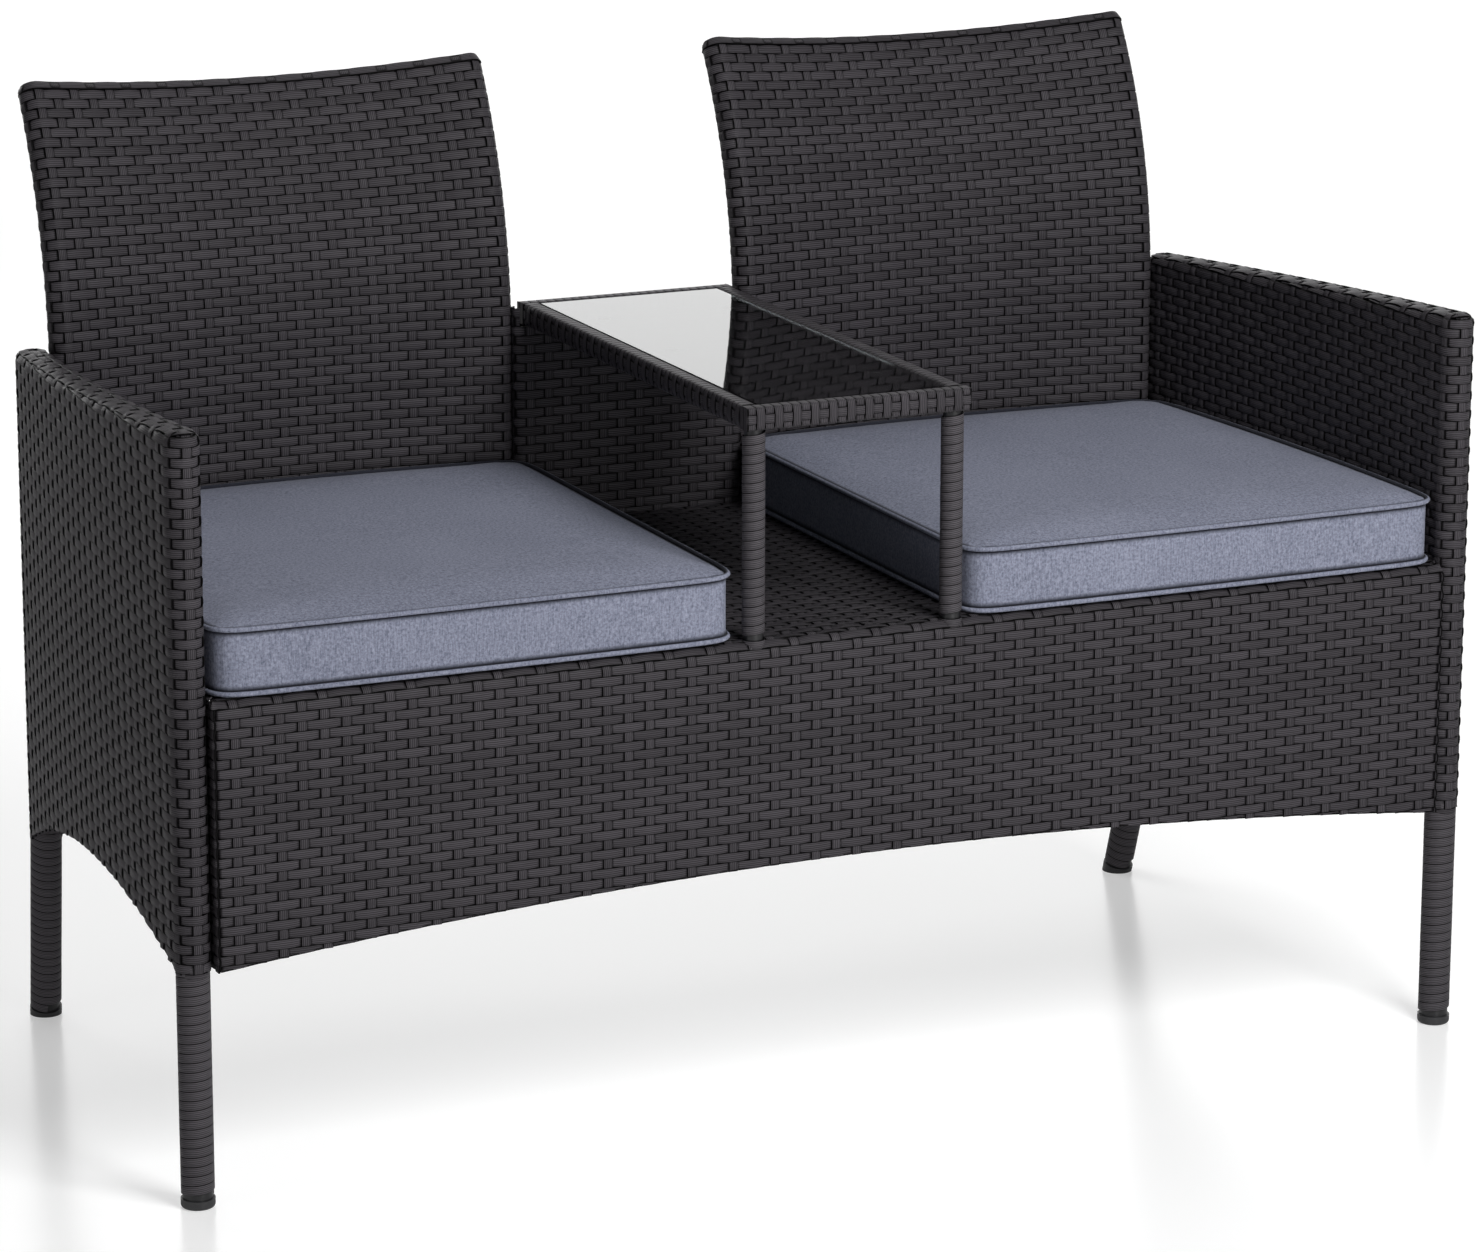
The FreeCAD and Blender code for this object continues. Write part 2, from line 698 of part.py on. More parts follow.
def build_back(label, side, bolt_rooms):
    """One backrest: two uprights, two bowed rails and the woven sleeve."""
    pieces = {}
    name = f"{label}_back_"
    middle = side * back_middle_x
    end = math.radians(back_lean)
    skin = back_block(name + "outside", back_half, back_bottom, end, "sizes.back_top_round")
    hollow_end = end - back_skin / back_arc_radius
    hollow = back_block(name + "hollow", back_half - back_skin, back_bottom - cut_over, hollow_end,
                        "sizes.back_top_round - sizes.back_skin")
    for block in (skin, hollow):
        put(block, middle, 0, 0)
    pieces["weave"] = cut(name + "weave", skin, hollow, *bolt_rooms)

    tube = ["sizes.back_tube", "sizes.back_tube - 2 * sizes.tube_wall"]
    upright_end = end - (back_skin + fit_gap + back_top_round) / back_arc_radius
    upright_path = back_path(back_bottom + back_tube_inset, upright_end)
    for place, x in (("outer_upright", side * back_outer_x), ("inner_upright", side * back_inner_x)):
        full = pipe(new_body(name + place + "_tube"), "YZ_Plane", upright_path, tube)
        put(full, x, 0, 0)
        pieces[place] = cut(name + place, full, *bolt_rooms)

    half = back_reach - back_r - fit_gap
    share = (half / back_reach) ** 2
    # The sleeve is shortest along its rear face, so the rail's room under its top is measured there
    rail_angle = end - (back_skin + fit_gap + back_r) / (back_arc_radius - back_bow - back_half)
    y, z = back_arc(rail_angle, back_bow * (1 - share))
    turn = Rotation(Vector(1, 0, 0), -math.degrees(rail_angle))
    top = pipe(new_body(name + "top_rail"), "XY_Plane", bow_path(half, back_bow * share), tube)
    pieces["top_rail"] = put(top, middle, y, z, turn)
    low = pipe(new_body(name + "bottom_rail"), "XY_Plane", bow_path(half, back_bow * share), tube)
    low_z = back_bottom + back_r + bottom_rail_inset
    pieces["bottom_rail"] = put(low, middle, back_y + back_bow * (1 - share), low_z)
    return pieces


def build_centre_back():
    """Low panel between the backrests that carries the rear of the table."""
    pieces = {}
    top = rim_under - fit_gap
    reach = centre_half - centre_r
    outline = []
    for radius in (centre_r, centre_r - back_skin):
        outline += [
            Part.LineSegment(Vector(-reach, radius, 0), Vector(reach, radius, 0)),
            Part.Arc(Vector(reach, radius, 0), Vector(reach + radius, 0, 0), Vector(reach, -radius, 0)),
            Part.LineSegment(Vector(reach, -radius, 0), Vector(-reach, -radius, 0)),
            Part.Arc(Vector(-reach, -radius, 0), Vector(-reach - radius, 0, 0), Vector(-reach, radius, 0)),
        ]
    body = new_body("centre_back_weave")
    pad(body, sketch_on(body, "XY_Plane", outline), top - back_bottom)
    pieces["centre_back_weave"] = put(body, 0, centre_y, back_bottom)
    for label, side in sides:
        pieces[f"centre_back_{label}_post"] = tube_between(
            f"centre_back_{label}_post", (side * reach, centre_y, back_bottom + back_tube_inset),
            (side * reach, centre_y, top), "sizes.centre_tube", "sizes.thin_wall")
    return pieces


def ring_block(name, half, front, rear, width, low, height):
    """Rectangular ring with its outer faces at the given half width, front and rear."""
    body = new_body(name)
    lines = rectangle(-half, half, front, rear)
    lines += rectangle(-half + width, half - width, front + width, rear - width)
    pad(body, sketch_on(body, "XY_Plane", lines), height)
    return put(body, 0, 0, low)


def bar_tube(name, low, high, axis):
    """Rectangular tube between two corners, hollow along x or y."""
    body = new_body(name)
    width, length, height = (b - a for a, b in zip(low, high))
    wall = thin_wall
    if axis == "x":
        lines = rectangle(0, length, 0, height) + rectangle(wall, length - wall, wall, height - wall)
        pad(body, sketch_on(body, "YZ_Plane", lines), width)
    else:
        lines = rectangle(0, width, 0, height) + rectangle(wall, width - wall, wall, height - wall)
        pad(body, sketch_on(body, "XZ_Plane", lines, -length), length)
    return put(body, *low)


def build_table():
    """Table: rim tubes in their winding, glass on pads and bearers, two thin posts."""
    pieces = {}
    outside = ring_block("rim_outside", table_half, table_front, table_rear, rim_width, rim_under,
                         rim_height)

    def long_edge(edge):
        level = [v.Z for v in edge.Vertexes]
        return abs(level[0] - level[-1]) < 0.01

    fillet_where(outside, "sizes.rim_round", long_edge)
    skin = leg_strip
    channel = ring_block("rim_channel", table_half - skin, table_front + skin, table_rear - skin,
                         rim_width - 2 * skin, rim_under + skin, rim_height - 2 * skin)
    inset = skin + fit_gap
    bar = rim_width - 2 * inset
    low = rim_under + inset
    high = table_height - inset
    left, right = -table_half + inset, table_half - inset
    front, rear = table_front + inset, table_rear - inset
    for label, start in (("front", front), ("rear", rear - bar)):
        pieces[f"table_{label}_rail"] = bar_tube(f"table_{label}_rail", (left, start, low),
                                                 (right, start + bar, high), "x")
    for label, start in (("left", left), ("right", right - bar)):
        pieces[f"table_{label}_rail"] = bar_tube(f"table_{label}_rail", (start, front + bar + fit_gap, low),
                                                 (start + bar, rear - bar - fit_gap, high), "y")

    # Glass on pads, pads on flat bars welded across the rim
    opening = table_half - rim_width
    glass_top = table_height - glass_drop
    glass_low = glass_top - glass_thickness
    glass_half = opening - glass_gap
    glass_front = table_front + rim_width + glass_gap
    glass_rear = table_rear - rim_width - glass_gap
    glass = new_body("table_glass")
    pad(glass, sketch_on(glass, "XY_Plane", rectangle(-glass_half, glass_half, glass_front, glass_rear)),
        "sizes.glass_thickness")
    pieces["table_glass"] = put(glass, 0, 0, glass_low)
    pad_low = glass_low - pad_thickness
    bar_low = pad_low - bearer_thickness
    bearers = []
    pads = []
    slots = []
    bar_reach = table_half - inset - bar - fit_gap
    for number, share in enumerate((0.18, 0.5, 0.82), start=1):
        y = glass_front + share * (glass_rear - glass_front)
        y0, y1 = y - bearer_width / 2, y + bearer_width / 2
        bearers.append(box_between(f"glass_bearer_{number}", (-bar_reach, y0, bar_low),
                                   (bar_reach, y1, pad_low)))
        slots.append(box_between(
            f"bearer_slot_{number}", (-bar_reach - fit_gap, y0 - fit_gap, bar_low - fit_gap),
            (bar_reach + fit_gap, y1 + fit_gap, pad_low + fit_gap)))
        for label, side in sides:
            soft = doc.addObject("Part::Cylinder", f"glass_pad_{number}_{label}")
            soft.setExpression("Radius", "sizes.pad_radius")
            soft.setExpression("Height", "sizes.pad_thickness")
            pads.append(put(soft, side * 0.7 * glass_half, y, pad_low))
    pieces["glass_bearers"] = group("glass_bearers", bearers)
    pieces["glass_pads"] = group("glass_pads", pads)

    post_holes = []
    rolled = apron_block("apron_above", apron_half, apron_depth, 0, seat_height + fit_gap, 0,
                         "sizes.apron_round")
    for label, side in sides:
        x = side * post_x
        tube = tube_between(f"table_{label}_post_tube", (x, post_y, rail_z), (x, post_y, low - fit_gap),
                            "sizes.rod_tube", "sizes.thin_wall")
        saddle = rod_between(f"table_{label}_post_saddle", (x - rod_tube, front_rail_y, rail_z),
                             (x + rod_tube, front_rail_y, rail_z), "sizes.leg_tube + 2 * sizes.fit_gap")
        pieces[f"table_{label}_post"] = cut(f"table_{label}_post", tube, saddle)
        post_holes.append(rod_between(f"table_{label}_post_room", (x, post_y, rim_under - cut_over),
                                      (x, post_y, low), "sizes.rod_tube + 2 * sizes.fit_gap"))
        winding = new_body(f"table_{label}_post_winding")
        wound = ["sizes.rod_tube + 2 * (sizes.fit_gap + sizes.post_strip)",
                 "sizes.rod_tube + 2 * sizes.fit_gap"]
        start = seat_height - apron_round
        pad(winding, rings(sketch_on(winding, "XY_Plane", []), *wound), rim_under - fit_gap - start)
        put(winding, x, post_y, start)
        pieces[f"table_{label}_post_wrap"] = cut(f"table_{label}_post_wrap", winding, rolled)
    pieces["table_rim_wrap"] = cut("table_rim_wrap", outside, channel, *slots, *post_holes)
    return pieces


def cushion_outline(side, inset):
    """Plan of a cushion: four gently bowed sides and four round corners, drawn in by an inset."""
    inner = side * (table_half + cushion_gap + inset)
    front = cushion_front + inset
    keep = arm_half + cushion_gap + inset
    arm_points = []
    for along in (cushion_front - front_leg_y, arm_chord / 2, rear_leg_y - back_half - front_leg_y):
        bow = arm_bow * (1 - (2 * along / arm_chord - 1) ** 2)
        x, y, z = on_arm(side, along, keep - bow, 0)
        arm_points.append(Vector(x, y, 0))
    rear = back_y - back_half - cushion_gap - inset
    rear_middle = rear + cushion_rear_bow
    outer_front, outer_middle, outer_rear = arm_points
    corner = cushion_corner * (1 - inset / (2 * cushion_crown_run))
    a = Vector(inner, front, 0)
    b = Vector(outer_front.x, front, 0)
    c = Vector(outer_rear.x, rear, 0)
    d = Vector(inner, rear, 0)
    middles = [
        Vector((inner + outer_front.x) / 2, front - cushion_front_bow, 0),
        outer_middle,
        Vector((inner + outer_rear.x) / 2, rear_middle, 0),
        Vector(inner, (front + rear) / 2, 0),
    ]
    corners = [a, b, c, d]
    lines = []
    starts = []
    ends = []
    for i, point in enumerate(corners):
        toward = (corners[(i + 1) % 4] - point).normalize()
        back = (corners[i - 1] - point).normalize()
        starts.append(point + toward * corner)
        ends.append(point + back * corner)
    for i, point in enumerate(corners):
        following = (i + 1) % 4
        if i == 3:
            lines.append(Part.LineSegment(starts[i], ends[following]))
        else:
            lines.append(Part.Arc(starts[i], middles[i], ends[following]))
        chord = (starts[following] + ends[following]) * 0.5
        round_point = chord + (corners[following] - chord) * 0.55
        lines.append(Part.Arc(ends[following], round_point, starts[following]))
    return lines


def build_cushion(label, side):
    """Loose seat cushion: drawn-in sides that belly between two seams, crowned top."""
    body = new_body(label + "_cushion")
    half = (cushion_thickness - cushion_seam_height) / 2
    middle = cushion_seam_height + half
    levels = [(0.0, cushion_draw + cushion_base_inset)]
    for share in (-1.0, -0.6, -0.2, 0.2, 0.6, 1.0):
        levels.append((middle + share * half, cushion_draw * share * share))
    for share in (0.3, 0.55, 0.8, 1.0):
        angle = share * math.pi / 2
        rise = cushion_crown * math.sin(angle)
        run = cushion_crown_run * (1 - math.cos(angle))
        levels.append((cushion_thickness + rise, cushion_draw + run))
    sections = [sketch_on(body, "XY_Plane", cushion_outline(side, inset), level) for level, inset in levels]
    feature = body.newObject("PartDesign::AdditiveLoft", f"{label}_cushion_loft")
    feature.Profile = sections[0]
    feature.Sections = sections[1:]
    feature.Ruled = True
    return put(body, 0, 0, seat_height + fit_gap)


nodes = {}
all_arm_bolts = []
all_back_bolts = []

# Bolt places of the backrests: through the rear seat rail into the uprights
back_bolt_rooms = []
bolt_start = rear_rail_y - leg_r - fit_gap
for label, side in sides:
    for number, x in enumerate((side * back_outer_x, side * back_inner_x), start=1):
        start = (x, bolt_start, rail_z)
        end = (x, back_y - back_r + tube_wall + bolt_reach, rail_z)
        all_back_bolts.append(bolt(f"{label}_back_bolt_{number}", start, end))
        back_bolt_rooms.append(rod_between(f"{label}_back_bolt_room_{number}", start, end,
                                           "sizes.bolt_shank + 2 * sizes.fit_gap"))

for label, side in sides:
    arm_pieces, arm_bolts, arm_bolt_rooms = build_arm(label, side)
    for key, piece in arm_pieces.items():
        nodes[f"{label}_{key}"] = piece
    all_arm_bolts += arm_bolts
    first = 0 if side < 0 else 2
    for key, piece in build_back(label, side, back_bolt_rooms[first:first + 2]).items():
        nodes[f"{label}_back_{key}"] = piece
    nodes[f"{label}_cushion"] = build_cushion(label, side)
    along_front = (front_rail_y + leg_r + fit_gap - front_leg_y) / leg_spread * arm_chord + 2 * weld_gap
    along_rear = (rear_rail_y - leg_r - fit_gap - front_leg_y) / leg_spread * arm_chord - 2 * weld_gap
    rail = tube_between(
        f"seat_{label}_rail_tube", on_arm(side, along_front, side_rail_inset, rail_z),
        on_arm(side, along_rear, side_rail_inset, rail_z), "sizes.frame_tube", "sizes.tube_wall")
    nodes[f"seat_{label}_rail"] = cut(f"seat_{label}_rail", rail, *arm_bolt_rooms)

nodes.update(build_seat_frame())
rear_rail_end = rear_leg_x - arm_half - weld_gap
rear_rail = tube_between("seat_rear_rail_tube", (-rear_rail_end, rear_rail_y, rail_z),
                         (rear_rail_end, rear_rail_y, rail_z), "sizes.leg_tube", "sizes.tube_wall")
nodes["seat_rear_rail"] = cut("seat_rear_rail", rear_rail, *back_bolt_rooms)
nodes.update(build_centre_back())
nodes.update(build_table())
nodes["arm_bolts"] = group("arm_bolts", all_arm_bolts)
nodes["back_bolts"] = group("back_bolts", all_back_bolts)

doc.recompute()

faults = [item.Name for item in doc.Objects if {"Invalid", "Error"} & set(item.State)]
for name, piece in nodes.items():
    piece.Label = name
    shape = piece.Shape
    if shape.isNull() or not shape.isValid() or not shape.Solids:
        faults.append(name)
if faults:
    raise RuntimeError("pieces that did not build: " + ", ".join(sorted(set(faults))))
for name, piece in nodes.items():
    piece.Shape.exportStep(f"parts/{name}.step")
print(len(nodes), "pieces written")
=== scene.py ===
"""Looks of the companion seat bench: woven flat strip, wound legs and rim, cushions, glass.

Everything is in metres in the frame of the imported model: +X along the bench, +Y to the rear, +Z up.
"""

import json
import logging
import math
from dataclasses import dataclass
from enum import Enum
from typing import Callable

import bpy
import numpy as np
from mathutils import Matrix

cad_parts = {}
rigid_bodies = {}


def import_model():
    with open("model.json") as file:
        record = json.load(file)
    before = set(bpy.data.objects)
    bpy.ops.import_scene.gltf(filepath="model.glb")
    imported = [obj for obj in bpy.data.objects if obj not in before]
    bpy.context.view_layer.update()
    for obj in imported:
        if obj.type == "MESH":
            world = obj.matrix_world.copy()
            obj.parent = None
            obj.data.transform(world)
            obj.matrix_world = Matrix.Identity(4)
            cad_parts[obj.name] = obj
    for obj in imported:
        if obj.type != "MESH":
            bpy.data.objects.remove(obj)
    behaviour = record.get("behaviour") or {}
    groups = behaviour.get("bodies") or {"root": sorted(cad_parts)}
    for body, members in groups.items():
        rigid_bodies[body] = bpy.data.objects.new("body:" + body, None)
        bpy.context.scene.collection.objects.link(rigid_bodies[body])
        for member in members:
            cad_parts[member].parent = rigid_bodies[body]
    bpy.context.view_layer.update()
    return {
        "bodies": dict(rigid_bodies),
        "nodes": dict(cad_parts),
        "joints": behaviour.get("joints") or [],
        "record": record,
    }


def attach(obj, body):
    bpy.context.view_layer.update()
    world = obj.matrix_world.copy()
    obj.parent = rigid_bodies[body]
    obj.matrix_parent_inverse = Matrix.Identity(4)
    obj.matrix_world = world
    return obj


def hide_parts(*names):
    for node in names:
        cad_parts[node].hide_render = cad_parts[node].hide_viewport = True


Array = np.ndarray
LOG = logging.getLogger("bench")


class Body(str, Enum):
    """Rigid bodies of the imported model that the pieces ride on."""

    FRAME = "frame"
    LEFT_CUSHION = "left_cushion"
    RIGHT_CUSHION = "right_cushion"


class Slot(str, Enum):
    """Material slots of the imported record."""

    WICKER = "wicker"
    CLOTH = "cushion_cloth"


@dataclass(frozen=True)
class BenchSizes:
    """Driving sizes of the bench in metres, the same as in the part's source.

    The y values are measured from the apron's front face; depth_middle takes them to the model's frame.
    """

    depth_middle: float = 0.2983318
    seat_height: float = 0.428
    arm_x: float = 0.585
    front_leg_y: float = 0.019
    leg_spread: float = 0.480
    arm_toe_in: float = 0.0285
    arm_bow: float = 0.0084
    arm_half: float = 0.015
    arm_front_height: float = 0.650
    arm_rear_height: float = 0.620
    arm_round: float = 0.009
    arch_radius: float = 0.656
    arch_top: float = 0.2385
    arch_place: float = 0.213
    bend_height: float = 0.204
    kick: float = 0.0515
    kick_in: float = 0.010
    bend_radius: float = 0.060
    foot_height: float = 0.008
    leg_wrap_radius: float = 0.0133
    apron_half: float = 0.568
    apron_depth: float = 0.024
    apron_round: float = 0.0135
    apron_end_height: float = 0.2025
    apron_rise: float = 0.031
    back_outer_x: float = 0.5283
    back_inner_x: float = 0.1225
    back_y: float = 0.499
    back_bow: float = 0.022
    back_half: float = 0.0129
    back_bottom: float = 0.398
    back_straight_top: float = 0.595
    back_arc_radius: float = 0.451
    back_lean: float = math.radians(32.7)
    back_round: float = 0.005
    centre_half: float = 0.111
    centre_radius: float = 0.0089
    centre_y: float = 0.4905
    table_half: float = 0.103
    table_front: float = -0.0013
    table_rear: float = 0.500
    table_height: float = 0.628
    rim_width: float = 0.0156
    rim_height: float = 0.0206
    post_x: float = 0.0914
    post_y: float = 0.0115
    post_wrap_radius: float = 0.0090
    cushion_gap: float = 0.001
    cushion_front: float = 0.004
    cushion_base: float = 0.4283
    cushion_seam_low: float = 0.4313
    cushion_seam_high: float = 0.4838
    cushion_corner: float = 0.026

    @property
    def arm_chord(self) -> float:
        """Distance between the two leg axes of one arm side."""
        return math.hypot(self.leg_spread, self.arm_toe_in)

    @property
    def arm_angle(self) -> float:
        """Toe-in of the arms towards the rear, in radians."""
        return math.atan2(self.arm_toe_in, self.leg_spread)

    def arm_inner(self, y: Array) -> Array:
        """Distance of the bowed arm side's inner face from the middle of the bench.

        Args:
            y: places from front to rear.

        Returns:
            One distance per place.
        """
        share = (y - self.front_leg_y) / self.leg_spread
        bow = self.arm_bow * (1 - (2 * share - 1) ** 2)
        return self.arm_x - self.arm_toe_in * share + bow - self.arm_half


SIZES = BenchSizes()


@dataclass(frozen=True)
class StripStock:
    """Flat wicker strip as it comes off the reel.

    Attributes:
        width: width of the strip.
        thickness: thickness of the strip.
        swing: how far a woven strip swings to each side of the panel's middle surface.
        step: spacing of the cross-sections along a strip.
        overlap: how much wider a woven row lies than its pitch, so that no light comes through.
        stake_width: width of a stake, which is a little more for the same reason.
        turn: rise of a winding from one turn to the next.
    """

    width: float = 0.0080
    thickness: float = 0.00135
    swing: float = 0.00066
    step: float = 0.0042
    overlap: float = 0.00016
    stake_width: float = 0.0085
    turn: float = 0.0081

    @property
    def inset(self) -> float:
        """Distance from the panel's outer face to its middle surface."""
        return self.swing + self.thickness / 2


STOCK = StripStock()
SIDES = (("left", -1), ("right", 1))
UP = np.array([0.0, 0.0, 1.0])
FULL_TURN = 2 * math.pi
QUARTER_TURN = math.pi / 2


def to_linear(code: str) -> tuple[float, float, float, float]:
    """Turns an sRGB hex colour into linear RGBA.

    Args:
        code: colour such as "#3a393b".

    Returns:
        The four linear channels.
    """
    values = [int(code[i:i + 2], 16) / 255 for i in (1, 3, 5)]
    channels = [v / 12.92 if v <= 0.04045 else ((v + 0.055) / 1.055) ** 2.4 for v in values]
    return (channels[0], channels[1], channels[2], 1.0)


class Graph:
    """Node tree of a material or world, with one helper that adds a node, sets it and links it."""

    def __init__(self, owner: bpy.types.Material | bpy.types.World) -> None:
        """Empties the owner's tree down to its output.

        Args:
            owner: the new material or world.
        """
        owner.use_nodes = True
        self.owner = owner
        self.tree = owner.node_tree
        self.tree.nodes.clear()
        kind = "World" if isinstance(owner, bpy.types.World) else "Material"
        self.output = self.tree.nodes.new(f"ShaderNodeOutput{kind}")

    @classmethod
    def material(cls, name: str) -> "Graph":
        """Starts the tree of a new material.

        Args:
            name: the real material with its finish.

        Returns:
            The tree.
        """
        return cls(bpy.data.materials.new(name))

    def add(self, kind: str, inputs: dict | tuple = (), take: int | str = 0,
            **settings: object) -> bpy.types.NodeSocket:
        """Adds a node, gives it its settings, and sets or links its inputs.

        Args:
            kind: type of the node without the leading "ShaderNode".
            inputs: values or other nodes' output sockets, in order or by input name or number.
            take: name or number of the output to give back.
            **settings: attributes of the node.

        Returns:
            The output socket.
        """
        node = self.tree.nodes.new(f"ShaderNode{kind}")
        for key, value in settings.items():
            setattr(node, key, value)
        for key, value in inputs.items() if isinstance(inputs, dict) else enumerate(inputs):
            if isinstance(value, bpy.types.NodeSocket):
                self.tree.links.new(value, node.inputs[key])
            else:
                node.inputs[key].default_value = value
        return node.outputs[take]

    def finish(self, surface: bpy.types.NodeSocket) -> bpy.types.Material | bpy.types.World:
        """Links the shader to the surface.

        Args:
            surface: the shader's output socket.

        Returns:
            The owner of the tree.
        """
        self.tree.links.new(surface, self.output.inputs["Surface"])
        return self.owner


@dataclass(frozen=True)
class StripFinish:
    """Extruded polyethylene strip, satin, with fine ribs along it.

    The ribs, with painted shade in the grooves between them, give the thin lines along every strip, the
    per-strip tone keeps the panel from looking printed, and painted shade at the ends of every float gives
    the depth of the weave.

    Attributes:
        name: the real material with its finish.
        colour: colour of the ribs.
        groove: colour between the ribs, painted shade in the grooves.
        edge: colour in the shade at the strip's sides and where it goes under the next one.
        ribs: number of ribs across the strip.
        roughness: middle roughness.
        flat: half width of the lit face in strip widths, beyond which the sides fall into shade.
        shoulder: how far that fall reaches, in strip widths.
        lens: how much the lit face narrows towards the end of a float, in strip widths.
    """

    name: str = "flat_wicker_strip_satin_black"
    colour: str = "#4b484c"
    groove: str = "#0e0d0f"
    edge: str = "#040304"
    ribs: int = 5
    roughness: float = 0.46
    flat: float = 0.390
    shoulder: float = 0.06
    lens: float = 0.045

    def build(self) -> bpy.types.Material:
        """Makes the material.

        Returns:
            The material, which reads the piece's UV map and its "tone" and "dip" attributes.
        """
        g = Graph.material(self.name)
        along = g.add("SeparateXYZ", (g.add("UVMap", uv_map="strip"),))
        across = along.node.outputs["Y"]
        turn = g.add("Math", (across, math.pi * self.ribs), operation="MULTIPLY")
        wave = g.add("Math", (g.add("Math", (turn,), operation="SINE"),), operation="ABSOLUTE")
        rib = g.add("Math", (wave, 0.8), operation="POWER")
        # 0 in the middle of a float, 1 where the strip dips under the next one
        dip = g.add("Attribute", take="Fac", attribute_name="dip")
        steep_dip = g.add("Math", (dip, 3.0), operation="POWER")
        narrowing = g.add("Math", (steep_dip, self.lens), operation="MULTIPLY")
        beside = g.add("Math", (g.add("Math", (across, 0.5), operation="SUBTRACT"),), operation="ABSOLUTE")
        off_middle = g.add("Math", (beside, narrowing), operation="ADD")
        side = g.add("MapRange", (off_middle, self.flat, self.flat + self.shoulder, 0.0, 1.0))
        end = g.add("MapRange", (dip, 0.86, 1.0, 0.0, 0.9))
        border = g.add("Math", (side, end), operation="MAXIMUM")
        # Painted shade in the grooves: the groove colour between the ribs is much darker than the ribs
        ribbed = g.add("Mix", {0: rib, 6: to_linear(self.groove), 7: to_linear(self.colour)}, take=2,
                       data_type="RGBA")
        body = g.add("Mix", {0: border, 6: ribbed, 7: to_linear(self.edge)}, take=2, data_type="RGBA")
        # Faint streaks from the extruder, about 17 mm long and 0.9 mm wide, and one tone per strip
        streak_place = g.add("CombineXYZ", (g.add("Math", (along, 60.0), operation="MULTIPLY"),
                                            g.add("Math", (across, 9.0), operation="MULTIPLY")))
        streak = g.add("TexNoise", {"Vector": streak_place, "Scale": 1.0, "Detail": 3.0})
        tone = g.add("Attribute", take="Fac", attribute_name="tone")
        strip_shade = g.add("Math", (tone, 0.30, 0.85), operation="MULTIPLY_ADD")
        streak_shade = g.add("Math", (streak, 0.5, 0.75), operation="MULTIPLY_ADD")
        shade = g.add("Math", (strip_shade, streak_shade), operation="MULTIPLY")
        height = g.add("Math", (rib, g.add("Math", (streak, 0.25), operation="MULTIPLY")), operation="ADD")
        return g.finish(g.add("BsdfPrincipled", {
            "Base Color": g.add("VectorMath", {0: body, "Scale": shade}, operation="SCALE"),
            "Roughness": g.add("Math", (streak, 0.16, self.roughness - 0.08), operation="MULTIPLY_ADD"),
            "Normal": g.add("Bump", {"Height": height, "Strength": 0.6, "Distance": 0.00025}),
            "IOR": 1.5, "Specular IOR Level": 0.09}))


@dataclass(frozen=True)
class ClothFinish:
    """Woven polyester of the cushions, grey-blue melange.

    The 0.7 mm weave gives the matte grain, the threads of two greys the mottled tone.

    Attributes:
        name: the real material with its finish.
        colour: colour of the lighter threads.
        thread: colour of the darker threads.
        crease: colour in the shade beside a seam.
        weave: spacing of the threads in metres.
    """

    name: str = "woven_polyester_grey_blue"
    colour: str = "#9da1b3"
    thread: str = "#595d6e"
    crease: str = "#23242c"
    weave: float = 0.0007

    def build(self) -> bpy.types.Material:
        """Makes the material.

        Returns:
            The material, in object coordinates, which reads the piece's "tone" attribute, the strength of the
            painted shade beside a seam.
        """
        g = Graph.material(self.name)
        place = g.add("TexCoord", take="Object")
        # The weave itself is finer than a pixel of the picture and shows only as grain; fibres are about
        # 0.8 mm thick, the melange changes every 2.4 mm and the whole drifts over some 110 mm
        fine = g.add("TexVoronoi", {"Vector": place, "Scale": 1 / self.weave, "Randomness": 0.55},
                     take="Distance")
        threads = g.add("Mapping", {"Vector": place, "Scale": (1300.0, 1300.0, 110.0)})
        fibre = g.add("TexNoise", {"Vector": threads, "Scale": 1.0, "Detail": 2.0})
        melange = g.add("TexNoise", {"Vector": place, "Scale": 420.0, "Detail": 4.0, "Roughness": 0.7})
        cloudy = g.add("TexNoise", {"Vector": place, "Scale": 9.0, "Detail": 2.0})
        mottled = g.add("Math", (g.add("Math", (melange, 2.0), operation="MULTIPLY"),
                                 g.add("Math", (fibre, 0.9), operation="MULTIPLY")), operation="ADD")
        drift = g.add("Math", (cloudy, 0.2, -1.05), operation="MULTIPLY_ADD")
        blend = g.add("Math", (mottled, drift), operation="ADD")
        body = g.add("Mix", {0: blend, 6: to_linear(self.thread), 7: to_linear(self.colour)}, take=2,
                     data_type="RGBA")
        # Painted shade beside the seams: the tone attribute of the cushion pieces draws the cloth towards the
        # crease colour
        seam = g.add("Attribute", take="Fac", attribute_name="tone")
        crease_shade_weight = g.add("MapRange", (seam, 0.35, 0.75, 0.0, 0.95))
        cloth = g.add("Mix", {0: crease_shade_weight, 6: body, 7: to_linear(self.crease)}, take=2, data_type="RGBA")
        height = g.add("Math", (fine, g.add("Math", (fibre, 0.6), operation="MULTIPLY")), operation="ADD")
        return g.finish(g.add("BsdfPrincipled", {
            "Base Color": cloth, "Roughness": 0.9, "IOR": 1.45, "Specular IOR Level": 0.15,
            "Normal": g.add("Bump", {"Height": height, "Strength": 0.35, "Distance": 0.0003}),
            "Sheen Weight": 0.06, "Sheen Roughness": 0.5}))


